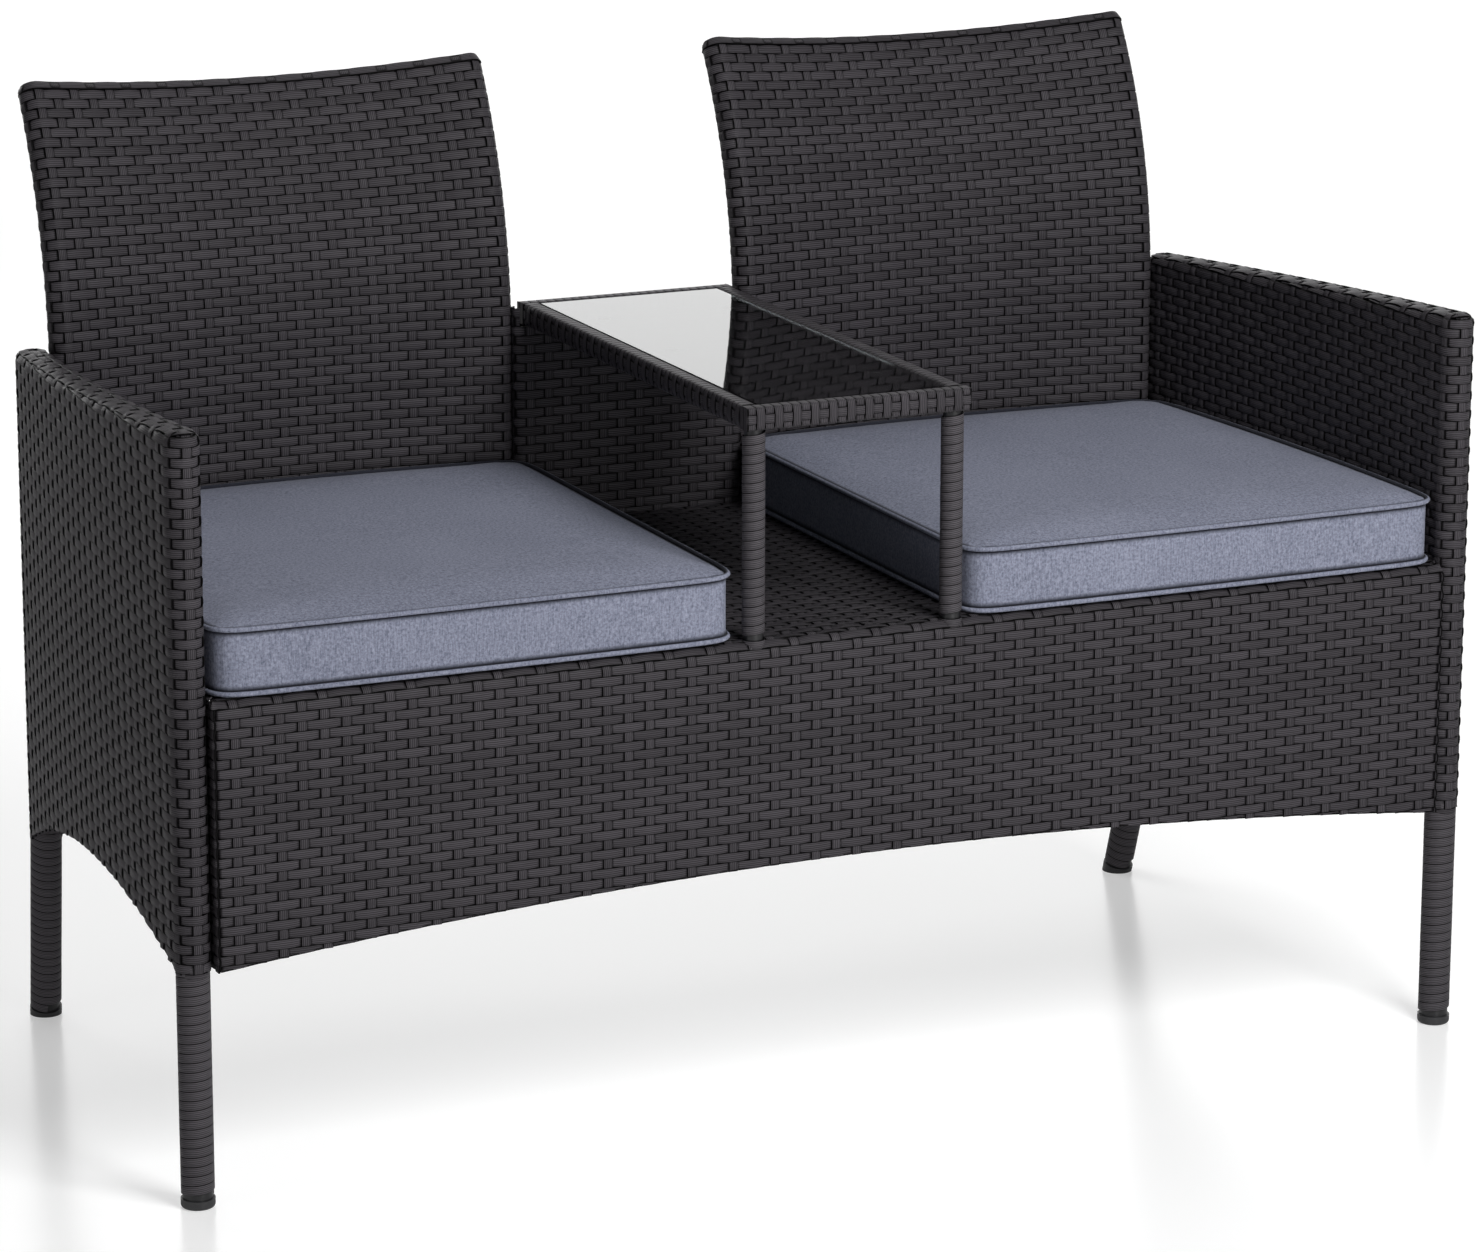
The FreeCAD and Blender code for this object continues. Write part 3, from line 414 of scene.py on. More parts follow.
@dataclass(frozen=True)
class GlassFinish:
    """Tempered glass, 5 mm, grey tinted, with the faint smear of a wiped table top.

    The tint keeps the deck below dark, and the smear in the roughness softens the mirrored backrest a little.

    Attributes:
        name: the real material with its finish.
        tint: colour of the light that comes through.
    """

    name: str = "tempered_glass_grey"
    tint: str = "#565b5c"

    def build(self) -> bpy.types.Material:
        """Makes the material.

        Returns:
            The material, in object coordinates.
        """
        g = Graph.material(self.name)
        place = g.add("TexCoord", take="Object")
        # Smears some 70 mm across
        smear = g.add("TexNoise", {"Vector": place, "Scale": 14.0, "Detail": 5.0})
        return g.finish(g.add("BsdfPrincipled", {
            "Base Color": to_linear(self.tint), "IOR": 1.52, "Transmission Weight": 1.0,
            "Roughness": g.add("Math", (smear, 0.05), operation="MULTIPLY")}))


@dataclass(frozen=True)
class CoatFinish:
    """A plain coated or moulded surface with a fine grain and slight wear.

    Attributes:
        name: the real material with its finish.
        colour: main colour.
        worn: colour where it is rubbed or dusty.
        roughness: middle roughness.
        metallic: 1 for bare metal.
        grain: size of the surface grain in metres.
        relief: height of the grain in metres.
    """

    name: str
    colour: str
    worn: str
    roughness: float
    metallic: float
    grain: float
    relief: float

    def build(self) -> bpy.types.Material:
        """Makes the material.

        Returns:
            The material, in object coordinates.
        """
        g = Graph.material(self.name)
        place = g.add("TexCoord", take="Object")
        grain = g.add("TexNoise", {"Vector": place, "Scale": 1 / self.grain, "Detail": 2.0})
        # Wear in patches of about 22 mm
        wear = g.add("TexNoise", {"Vector": place, "Scale": 45.0, "Detail": 5.0, "Roughness": 0.65})
        spread = g.add("MapRange", (wear, 0.5, 0.8, 0.0, 0.6))
        body = g.add("Mix", {0: spread, 6: to_linear(self.colour), 7: to_linear(self.worn)}, take=2,
                     data_type="RGBA")
        return g.finish(g.add("BsdfPrincipled", {
            "Base Color": body, "Metallic": self.metallic, "IOR": 1.5,
            "Roughness": g.add("Math", (wear, 0.2, self.roughness - 0.1), operation="MULTIPLY_ADD"),
            "Normal": g.add("Bump", {"Height": grain, "Strength": 0.5, "Distance": self.relief})}))


def unit(vectors: Array) -> Array:
    """Scales vectors to length one.

    Args:
        vectors: array whose last axis holds the components.

    Returns:
        The unit vectors.
    """
    return vectors / np.maximum(np.linalg.norm(vectors, axis=-1, keepdims=True), 1e-12)


def to_frame(points: Array) -> Array:
    """Takes points measured from the apron's front face to the model's frame.

    Args:
        points: points in metres.

    Returns:
        The moved points.
    """
    return points - np.array([0.0, SIZES.depth_middle, 0.0])


def make_object(name: str, verts: Array, faces: Array, material: bpy.types.Material, uvs: Array | None = None,
                fields: dict[str, Array] | None = None, normals: Array | None = None) -> bpy.types.Object:
    """Makes a smooth shaded mesh object of quads.

    Args:
        name: name of the piece.
        verts: n by 3 points.
        faces: m by 4 vertex numbers, seen counterclockwise from outside.
        material: its material.
        uvs: m by 4 by 2 corner coordinates.
        fields: name of a material attribute to its value at each point.
        normals: one shading normal per point.

    Returns:
        The object, linked to the scene.
    """
    mesh = bpy.data.meshes.new(name)
    mesh.vertices.add(len(verts))
    mesh.vertices.foreach_set("co", np.ascontiguousarray(verts, dtype=np.float32).ravel())
    mesh.loops.add(faces.size)
    mesh.loops.foreach_set("vertex_index", faces.astype(np.int32).ravel())
    mesh.polygons.add(len(faces))
    mesh.polygons.foreach_set("loop_start", np.arange(0, faces.size, 4, dtype=np.int32))
    mesh.polygons.foreach_set("use_smooth", np.ones(len(faces), dtype=bool))
    if uvs is not None:
        layer = mesh.uv_layers.new(name="strip")
        layer.data.foreach_set("uv", uvs.astype(np.float32).ravel())
    for field, values in (fields or {}).items():
        attribute = mesh.attributes.new(field, "FLOAT", "POINT")
        attribute.data.foreach_set("value", values.astype(np.float32))
    mesh.update(calc_edges=True)
    mesh.validate()
    if normals is not None:
        mesh.normals_split_custom_set_from_vertices(normals.tolist())
    mesh.materials.append(material)
    obj = bpy.data.objects.new(name, mesh)
    bpy.context.scene.collection.objects.link(obj)
    return obj


class StripBatch:
    """Many runs of one flat strip, gathered into one mesh.

    Each run is a closed cross-section of six corners, bevelled on its outer side, carried along a line. The
    section lies across the direction of travel: across = tangent x outward, so the strip follows the surface
    that it is laid on.
    """

    SIDE = np.array([-1.0, -1.0, -0.9, 0.9, 1.0, 1.0])
    RISE = np.array([-1.0, 0.3, 1.0, 1.0, 0.3, -1.0])
    # Shading normals of the corners: flat on both broad sides, square to them at the narrow edges
    LEAN = np.array([-0.80, -0.95, -0.30, 0.30, 0.95, 0.80])
    FACE = np.array([-0.60, 0.30, 0.95, 0.95, 0.30, -0.60])

    def __init__(self, seed: int, width: float = STOCK.width, thickness: float = STOCK.thickness) -> None:
        """Starts an empty batch.

        Args:
            seed: seed of the tones and reel positions.
            width: full width of the strip.
            thickness: thickness of the strip.
        """
        self.rng = np.random.default_rng(seed)
        self.width = width
        self.thickness = thickness
        self.verts: list[Array] = []
        self.faces: list[Array] = []
        self.uvs: list[Array] = []
        self.tones: list[Array] = []
        self.dips: list[Array] = []
        self.normals: list[Array] = []
        self.count = 0

    def add(self, centre: Array, out: Array, low: Array | None = None, high: Array | None = None,
            closed: bool = False, dip: Array | None = None) -> None:
        """Adds one run.

        Args:
            centre: n by 3 points of the strip's middle line.
            out: n by 3 directions away from the panel.
            low: lower edge of the strip across it, at each point, where it is cut to a line.
            high: upper edge, the same.
            closed: whether the run joins up with its own start.
            dip: 0 in the middle of a float to 1 where the strip goes under the next one.
        """
        n = len(centre)
        if closed:
            tangent = unit(np.roll(centre, -1, axis=0) - np.roll(centre, 1, axis=0))
        else:
            tangent = unit(np.gradient(centre, axis=0))
        out = unit(out - tangent * np.sum(out * tangent, axis=1, keepdims=True))
        across = np.cross(tangent, out)
        half = self.width / 2
        low = np.full(n, -half) if low is None else low
        high = np.full(n, half) if high is None else high
        middle = (low + high) / 2
        reach = (high - low) / 2
        side = middle[:, None] + reach[:, None] * self.SIDE[None, :]
        rise = self.RISE * self.thickness / 2
        verts = (centre[:, None, :] + across[:, None, :] * side[:, :, None]
                 + out[:, None, :] * rise[None, :, None])
        length = np.concatenate([[0.0], np.cumsum(np.linalg.norm(np.diff(centre, axis=0), axis=1))])
        u = length + self.rng.uniform(0, 40)
        v = side / self.width + 0.5
        k = len(self.SIDE)
        rings = np.arange(n if closed else n - 1)
        following = (rings + 1) % n
        j = np.arange(k)
        j_next = (j + 1) % k
        quads = np.stack([
            rings[:, None] * k + j[None, :], rings[:, None] * k + j_next[None, :],
            following[:, None] * k + j_next[None, :], following[:, None] * k + j[None, :]], axis=-1)
        u0 = np.broadcast_to(u[rings][:, None], (len(rings), k))
        u_end = u[rings] + np.linalg.norm(centre[following] - centre[rings], axis=1)
        u1 = np.broadcast_to(u_end[:, None], (len(rings), k))
        corner_v = [v[rings][:, j], v[rings][:, j_next], v[following][:, j_next], v[following][:, j]]
        uv = np.stack([np.stack([a, b], axis=-1) for a, b in zip((u0, u0, u1, u1), corner_v)], axis=2)
        quads = quads.reshape(-1, 4)
        uv = uv.reshape(-1, 4, 2)
        if not closed:
            start = np.array([[3, 2, 1, 0], [5, 4, 3, 0]])
            end = np.array([[0, 1, 2, 3], [0, 3, 4, 5]]) + (n - 1) * k
            flat = np.zeros((4, 4, 2))
            flat[..., 0] = u[0]
            flat[..., 1] = 0.5
            quads = np.concatenate([quads, start, end])
            uv = np.concatenate([uv, flat])
        shading = across[:, None, :] * self.LEAN[None, :, None] + out[:, None, :] * self.FACE[None, :, None]
        self.verts.append(verts.reshape(-1, 3))
        self.normals.append(unit(shading.reshape(-1, 3)))
        self.faces.append(quads + self.count)
        self.uvs.append(uv)
        self.tones.append(np.full(n * k, self.rng.uniform(0, 1)))
        self.dips.append(np.repeat(np.zeros(n) if dip is None else dip, k))
        self.count += n * k

    def build(self, name: str, material: bpy.types.Material, body: Body = Body.FRAME) -> bpy.types.Object:
        """Makes the mesh object of all the runs and lets it ride.

        Args:
            name: name of the piece.
            material: its material.
            body: the rigid body that carries it.

        Returns:
            The object.
        """
        fields = {"tone": np.concatenate(self.tones), "dip": np.concatenate(self.dips)}
        obj = make_object(name, np.concatenate(self.verts), np.concatenate(self.faces), material,
                          np.concatenate(self.uvs), fields, np.concatenate(self.normals))
        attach(obj, body.value)
        return obj


def over_under(phase: Array) -> Array:
    """Swing of a woven strip: +1 over, -1 under, flat in between, steep where it changes.

    Args:
        phase: place along the strip counted in crossings.

    Returns:
        Values from -1 to 1, a hyperbolic tangent of a cosine with a period of two crossings.
    """
    return np.tanh(1.7 * np.cos(np.pi * phase)) / math.tanh(1.7)


def dip_of(phase: Array, visible: float) -> Array:
    """How near a point of a woven strip is to the end of its visible float.

    Args:
        phase: place along the strip counted in crossings, over at even numbers.
        visible: visible half of a float in crossings.

    Returns:
        0 in the middle of the float, 1 at its end, and more where the strip is hidden.
    """
    return np.abs(np.mod(phase + 1, 2) - 1) / visible


class Outline:
    """Closed or open line in plan, stepped off by length, with its normal away from the panel."""

    def __init__(self, points: Array, normals: Array, closed: bool) -> None:
        """Keeps the line and measures it.

        Args:
            points: n by 2 points, close together.
            normals: n by 2 unit normals.
            closed: whether the last point joins the first.
        """
        if closed:
            points = np.vstack([points, points[:1]])
            normals = np.vstack([normals, normals[:1]])
        self.points = points
        self.normals = normals
        self.closed = closed
        self.place = np.concatenate([[0.0], np.cumsum(np.linalg.norm(np.diff(points, axis=0), axis=1))])
        self.length = float(self.place[-1])

    def at(self, s: Array) -> tuple[Array, Array]:
        """Points and normals at distances along the line.

        Args:
            s: distances from the start.

        Returns:
            Points and unit normals, n by 2 each.
        """
        s = np.mod(s, self.length) if self.closed else np.clip(s, 0, self.length)
        point = np.stack([np.interp(s, self.place, self.points[:, i]) for i in (0, 1)], axis=1)
        normal = np.stack([np.interp(s, self.place, self.normals[:, i]) for i in (0, 1)], axis=1)
        return point, unit(normal)


def bowed_loop(length: float, bow: float, radius: float) -> Outline:
    """Loop round a shallow arc at a fixed distance from it, clockwise, from the middle of its first end.

    Args:
        length: chord of the arc, from x = 0 to x = length.
        bow: how far its middle is off the chord, towards +y when positive.
        radius: distance from the arc.

    Returns:
        The closed outline.
    """
    half = length / 2
    way = 1.0 if bow >= 0 else -1.0
    big = (half * half + bow * bow) / (2 * max(abs(bow), 1e-5))
    end = math.asin(min(half / big, 1.0))
    turn = np.linspace(-end, end, 160)
    middle = np.stack([half + big * np.sin(turn), way * (abs(bow) - big + big * np.cos(turn))], axis=1)
    left = np.stack([way * np.sin(turn), np.cos(turn)], axis=1)
    if way < 0:
        left = np.stack([-np.sin(turn), np.cos(turn)], axis=1)
    first_angle = math.atan2(left[0, 1], left[0, 0])
    last_angle = math.atan2(left[-1, 1], left[-1, 0])
    opening = np.linspace(first_angle + math.pi / 2, first_angle, 24)[:-1]
    far = np.linspace(last_angle, last_angle - math.pi, 48)[1:-1]
    closing = np.linspace(first_angle + math.pi, first_angle + math.pi / 2, 24)[1:-1]

    def cap(angles: Array, centre: Array) -> tuple[Array, Array]:
        """Points and normals of an arc round a centre.

        Args:
            angles: directions from the centre.
            centre: the centre in plan.

        Returns:
            n by 2 points and n by 2 normals.
        """
        normals = np.stack([np.cos(angles), np.sin(angles)], axis=1)
        return centre + radius * normals, normals

    parts = [
        cap(opening, middle[0]),
        (middle + radius * left, left),
        cap(far, middle[-1]),
        ((middle - radius * left)[::-1], -left[::-1]),
        cap(closing, middle[0]),
    ]
    return Outline(np.vstack([p for p, _ in parts]), np.vstack([n for _, n in parts]), closed=True)


Carry = Callable[[Array, Array, Array], tuple[Array, Array]]
Limit = Callable[[Array, Array], Array]


@dataclass
class WovenPanel:
    """Plain weave of level rows over upright stakes on a surface.

    Height is measured along the panel's surface, upward.

    Attributes:
        outline: line of a row in plan.
        stakes: number of stakes round the line.
        pitch: height of a row.
        start: height of the first row's lower edge.
        end: height of the last row's upper edge.
        carry: takes plan points, plan normals and heights to points and directions away from the panel.
        low: lowest height that the panel has at plan points, from the points and their normals.
        high: highest height, the same.
        seed: seed of the small irregularities.
        calm: length below the upper edge over which the swing dies away, so that the edge lies straight.
    """

    outline: Outline
    stakes: int
    pitch: float
    start: float
    end: float
    carry: Carry
    low: Limit
    high: Limit
    seed: int
    calm: float = 0.0

    # Random lift of a row, in metres
    JITTER = 0.00003
    # A row cut narrower than this is left out
    SLIVER = 0.0012
    # Cross-sections of a stake to one row
    SECTIONS = 2.9

    def swing_at(self, phase: Array, height: Array | float) -> Array:
        """Swing of a strip, smaller near a calm upper edge.

        Args:
            phase: place along the strip counted in crossings.
            height: height on the panel.

        Returns:
            Distances from the middle surface in metres.
        """
        fade = np.clip((self.end - height) / self.calm, 0.0, 1.0) if self.calm else 1.0
        return STOCK.swing * over_under(phase) * fade

    def rows(self) -> StripBatch:
        """Lays the level rows, cut to the panel's lower and upper edge.

        Returns:
            The strips.
        """
        batch = StripBatch(self.seed, width=self.pitch + STOCK.overlap)
        length = self.outline.length
        spacing = length / self.stakes
        count = int(round((self.end - self.start) / self.pitch))
        n = int(math.ceil(length / STOCK.step))
        s = np.arange(n) * length / n if self.outline.closed else np.linspace(0, length, n)
        plan, normal = self.outline.at(s)
        low_edge = self.low(plan, normal)
        high_edge = self.high(plan, normal)
        half = batch.width / 2
        for row in range(count):
            height = self.start + (row + 0.5) * self.pitch
            jitter = batch.rng.normal(0, self.JITTER)
            low = np.maximum(-half, low_edge - height)
            high = np.minimum(half, high_edge - height)
            good = high - low > self.SLIVER
            if not good.any():
                continue
            swing = self.swing_at(s / spacing + row, height)
            dip = dip_of(s / spacing + row, 1 - 0.5 * STOCK.width / spacing)
            point, out = self.carry(plan, normal, np.full(n, height + jitter))
            point = point + out * swing[:, None]
            if good.all() and self.outline.closed:
                batch.add(point, out, low, high, closed=True, dip=dip)
                continue
            for pick in self.stretches(good):
                if len(pick) > 3:
                    batch.add(point[pick], out[pick], low[pick], high[pick], dip=dip[pick])
        return batch

    def stretches(self, good: Array) -> list[Array]:
        """Runs of neighbouring places that are good, joined over the start of a closed line.

        Args:
            good: one flag per place.

        Returns:
            Place numbers of each run, in order.
        """
        places = np.arange(len(good))
        if self.outline.closed:
            shift = int(np.argmin(good))
            places = np.roll(places, -shift)
        flags = good[places].astype(int)
        edges = np.diff(np.concatenate([[0], flags, [0]]))
        return [places[a:b] for a, b in zip(np.flatnonzero(edges == 1), np.flatnonzero(edges == -1))]

    def uprights(self) -> StripBatch:
        """Lays the stakes, each over the rows that are under it.

        Returns:
            The strips.
        """
        batch = StripBatch(self.seed + 1, width=STOCK.stake_width)
        spacing = self.outline.length / self.stakes
        number = self.stakes if self.outline.closed else self.stakes + 1
        plan, normal = self.outline.at(np.arange(number) * spacing)
        low_edge = self.low(plan, normal)
        high_edge = self.high(plan, normal)
        for k in range(number):
            low = max(self.start, low_edge[k])
            high = min(self.end, high_edge[k])
            if high - low < self.pitch:
                continue
            n = int((high - low) / (self.pitch / self.SECTIONS)) + 2
            height = np.linspace(low, high, n)
            line = np.repeat(plan[k:k + 1], n, axis=0)
            point, out = self.carry(line, np.repeat(normal[k:k + 1], n, axis=0), height)
            phase = k + (height - self.start) / self.pitch - 0.5
            swing = -self.swing_at(phase, height)
            batch.add(point + out * swing[:, None], out, dip=dip_of(phase + 1, 0.5))
        return batch


def wound_run(axis: Array, radius: float, low: float, turns: float, sections: int) -> tuple[Array, Array]:
    """Line of a strip wound round an upright tube.

    Args:
        axis: foot of the tube's axis, y from the apron's front face.
        radius: distance of the strip's middle from the axis.
        low: height of the first turn's middle.
        turns: number of turns.
        sections: cross-sections to a turn.

    Returns:
        Points in the model's frame and directions away from the tube.
    """
    spin = np.linspace(0, turns * FULL_TURN, int(turns * sections))
    out = np.stack([np.cos(spin), np.sin(spin), np.zeros(len(spin))], axis=1)
    point = axis + radius * out
    point[:, 2] = low + STOCK.turn * spin / FULL_TURN
    return to_frame(point), out


class ArmSide:
    """One woven arm side with the winding of its two legs."""

    PITCH = 0.0082
    ROWS = 58
    STAKES = 58
    # Height of the first row, below the lowest place of the arched edge
    START = 0.178
    # Angle up to which the rows lie over the rounded edge, before the lengthwise strips take over
    ROWS_OVER = 0.76
    # Places across the panel of the strips that close its lower edge
    LOWER_BANDS = (-0.0104, -0.0052, 0.0, 0.0052, 0.0104)
    # Lift of those strips' middle above the edge, and how much more to each metre off the middle
    BAND_LIFT = 0.0008
    BAND_RISE = 0.05
    # How far the leg windings start above the foot, and how far the front one goes up into the panel
    WINDING_START = 0.0046
    WINDING_END = 0.004
    # Cross-sections to a turn of a leg winding
    SECTIONS = 26

    def __init__(self, label: str, side: int, finish: bpy.types.Material, wound: bpy.types.Material) -> None:
        """Keeps which side this is.

        Args:
            label: "left" or "right".
            side: -1 for left, 1 for right.
            finish: the woven strip's material.
            wound: material of the strip wound round the legs.
        """
        self.label = label
        self.side = side
        self.finish = finish
        self.wound = wound
        turn = QUARTER_TURN + side * SIZES.arm_angle
        self.roll = SIZES.arm_round - STOCK.inset
        self.along = np.array([math.cos(turn), math.sin(turn), 0.0])
        self.left = np.array([-math.sin(turn), math.cos(turn), 0.0])
        self.base = np.array([side * SIZES.arm_x, SIZES.front_leg_y, 0.0])

    def to_world(self, plan: Array, height: Array) -> Array:
        """Takes points of the arm's own frame to the model's frame.

        Args:
            plan: n by 2 points, x from the front leg to the rear one, y to the left.
            height: one height per point.

        Returns:
            n by 3 points.
        """
        point = self.base + plan[:, :1] * self.along + plan[:, 1:2] * self.left
        point[:, 2] = height
        return to_frame(point)

    def direction(self, normal: Array) -> Array:
        """Takes level directions of the arm's own frame to the model's frame.

        Args:
            normal: n by 2 directions.

        Returns:
            n by 3 directions.
        """
        return normal[:, :1] * self.along + normal[:, 1:2] * self.left

    def middle_line(self, x: Array) -> Array:
        """Distance of the bowed panel's middle from the line between its legs.

        Args:
            x: places from the front leg to the rear one.

        Returns:
            Distances to the left, seen from the front leg.
        """
        return -self.side * SIZES.arm_bow * (1 - (2 * x / SIZES.arm_chord - 1) ** 2)

    def carry(self, plan: Array, normal: Array, height: Array) -> tuple[Array, Array]:
        """Upright side that rolls in over the rounded edge and goes on level below the sloping top.

        Args:
            plan: n by 2 points of the arm's own frame.
            normal: n by 2 directions away from the panel.
            height: height along the surface at each point.

        Returns:
            Points and directions away from the panel, in the model's frame.
        """
        roll_start = self.top(plan[:, 0]) - SIZES.arm_round
        beyond = height - roll_start
        over = np.clip(beyond / self.roll, 0, QUARTER_TURN)
        level = np.maximum(beyond - self.roll * QUARTER_TURN, 0)
        inner = plan - normal * (self.roll * (1 - np.cos(over)) + level)[:, None]
        sloped = self.top(inner[:, 0]) - self.top(plan[:, 0])
        height = np.minimum(height, roll_start) + self.roll * np.sin(over) + sloped
        out = self.direction(normal) * np.cos(over)[:, None]
        out[:, 2] = np.sin(over)
        return self.to_world(inner, height), out

    @staticmethod
    def top(x: Array) -> Array:
        """Height of the sloping arm top.

        Args:
            x: places from the front leg to the rear one.

        Returns:
            One height per place.
        """
        slope = (SIZES.arm_front_height - SIZES.arm_rear_height) / (SIZES.arm_chord + 2 * SIZES.arm_half)
        return SIZES.arm_front_height - slope * (x + SIZES.arm_half)

    @staticmethod
    def arch(x: Array) -> Array:
        """Height of the arched lower edge, an arc of a circle.

        Args:
            x: places from the front leg to the rear one.

        Returns:
            One height per place.
        """
        across = x - SIZES.arch_place
        return SIZES.arch_top - SIZES.arch_radius + np.sqrt(SIZES.arch_radius ** 2 - across ** 2)

    def weave_top(self, loop: Outline, stakes: int) -> StripBatch:
        """Weaves the rounded edge and the top: a loop and a middle strip along, short strips across.

        Args:
            loop: line of the panel's rows in plan.
            stakes: number of stakes round it, an even number, so that they face each other in pairs.

        Returns:
            The strips.
        """
        batch = StripBatch(31 + self.side)
        spacing = loop.length / stakes
        reach = SIZES.arm_half - STOCK.inset
        # Lengths measured up from the start of the rounded edge: the middle of the top and of the loop
        middle = self.roll * QUARTER_TURN + reach - self.roll
        ring = middle - STOCK.width
        n = int(loop.length / STOCK.step)
        s = np.arange(n) * loop.length / n
        plan, normal = loop.at(s)
        point, out = self.carry(plan, normal, self.top(plan[:, 0]) - SIZES.arm_round + ring)
        batch.add(point + out * (STOCK.swing * over_under(s / spacing))[:, None], out, closed=True)
        # The middle strip goes 7.8 mm past both legs and bends down with the round ends
        past = 0.0078
        x = np.linspace(-past, SIZES.arm_chord + past, 150)
        swing = STOCK.swing * over_under((x + reach * QUARTER_TURN) / spacing + 1)
        beyond = np.abs(x - SIZES.arm_chord / 2) - SIZES.arm_chord / 2 - reach + self.roll
        drop = self.roll - np.sqrt(self.roll ** 2 - np.maximum(beyond, 0) ** 2)
        plan = np.stack([x, self.middle_line(x)], axis=1)
        point = self.to_world(plan, self.top(x) - STOCK.inset - drop + swing)
        batch.add(point, np.tile(UP, (len(x), 1)))
        # The cross strips start just below the loop and end there on the other side; at the round ends,
        # where they would meet, they stop just past the loop
        low = ring - STOCK.width / 2 - 0.0006
        short = ring + 0.003
        for k in range(stakes // 2 + 1):
            plan, normal = loop.at(np.array([k, stakes - k]) * spacing)
            stretches = [np.linspace(low, 2 * middle - low, 23)]
            if k < 2 or k > stakes // 2 - 2:
                stretches = [np.linspace(low, short, 9), np.linspace(2 * middle - low, 2 * middle - short, 9)]
            for girth in stretches:
                facing = (girth > middle).astype(int)
                lying = np.minimum(girth, 2 * middle - girth)
                base = self.top(plan[facing, 0]) - SIZES.arm_round
                point, out = self.carry(plan[facing], normal[facing], base + lying)
                swing = -STOCK.swing * over_under(k + (girth - ring) / STOCK.width)
                batch.add(point + out * swing[:, None], out)
        return batch

    def build(self) -> None:
        """Makes the weave, the edge bands and the windings of this side."""
        loop = bowed_loop(SIZES.arm_chord, -self.side * SIZES.arm_bow, SIZES.arm_half - STOCK.inset)
        panel = WovenPanel(
            outline=loop, stakes=self.STAKES, pitch=self.PITCH, start=self.START,
            end=self.START + self.ROWS * self.PITCH, carry=self.carry,
            low=lambda plan, normal: self.arch(plan[:, 0]),
            high=lambda plan, normal: self.top(plan[:, 0]) - SIZES.arm_round + self.roll * self.ROWS_OVER,
            seed=11 + self.side)
        rows = panel.rows().build(f"{self.label}_arm_weave_rows", self.finish)
        panel.uprights().build(f"{self.label}_arm_weave_stakes", self.finish)
        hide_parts(f"{self.label}_arm_weave")
        self.weave_top(loop, self.STAKES).build(f"{self.label}_arm_top_weave", self.finish)
        # Strips side by side close the lower edge between the two legs
        bands = StripBatch(35 + self.side)
        x = np.linspace(0.012, SIZES.arm_chord - 0.008, 90)
        for offset in self.LOWER_BANDS:
            plan = np.stack([x, self.middle_line(x) + offset], axis=1)
            point = self.to_world(plan, self.arch(x) + self.BAND_LIFT + abs(offset) * self.BAND_RISE)
            bands.add(point, np.tile(-UP, (len(x), 1)))
        bands.build(f"{self.label}_arm_lower_edge_bands", self.finish)
        self.wind_front_leg()
        self.wind_rear_leg()

    def wind_front_leg(self) -> None:
        """Winds strip round the front leg from the foot up into the arm side."""
        top = float(self.arch(np.array([0.0]))[0]) + self.WINDING_END
        turns = (top - SIZES.foot_height - self.WINDING_START) / STOCK.turn
        batch = StripBatch(41 + self.side)
        # The first turn's lower side lies just over the foot
        low = SIZES.foot_height + 0.0043
        batch.add(*wound_run(self.base, SIZES.leg_wrap_radius, low, turns, self.SECTIONS))
        piece = batch.build(f"{self.label}_front_leg_winding", self.wound)
        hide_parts(f"{self.label}_front_leg_wrap")

    def wind_rear_leg(self) -> None:
        """Winds strip round the raked rear leg along its bent axis."""
        kick = math.hypot(SIZES.kick, SIZES.kick_in)
        way = np.array([-self.side * SIZES.kick_in / kick, SIZES.kick / kick, 0.0])
        angle = math.atan2(kick, SIZES.bend_height)
        raked = UP * math.cos(angle) - way * math.sin(angle)
        upper = [self.side * (SIZES.arm_x - SIZES.arm_toe_in), SIZES.front_leg_y + SIZES.leg_spread, 0.0]
        foot = np.array(upper) + way * kick
        # Lengths along the axis from the foot: the straight part, then the bend
        straight = math.hypot(kick, SIZES.bend_height) - SIZES.bend_radius * math.tan(angle / 2)
        low = SIZES.foot_height + self.WINDING_START
        high = straight + SIZES.bend_radius * angle
        s = np.linspace(low, high, int((high - low) / STOCK.turn * self.SECTIONS))
        bend = np.clip((s - straight) / SIZES.bend_radius, 0, angle)
        lean = angle - bend
        axis = UP * np.cos(lean)[:, None] - way * np.sin(lean)[:, None]
        line = foot + raked * np.minimum(s, straight)[:, None]
        line = line + (SIZES.bend_radius * (np.cos(lean) - math.cos(angle)))[:, None] * -way
        line = line + (SIZES.bend_radius * (math.sin(angle) - np.sin(lean)))[:, None] * UP
        flat = np.cross(UP, way)
        third = np.cross(axis, flat)
        spin = FULL_TURN * (s - low) / STOCK.turn
        out = np.cos(spin)[:, None] * third + np.sin(spin)[:, None] * flat
        batch = StripBatch(51 + self.side)
        batch.add(to_frame(line + SIZES.leg_wrap_radius * out), out)
        piece = batch.build(f"{self.label}_rear_leg_winding", self.wound)
        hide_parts(f"{self.label}_rear_leg_wrap")


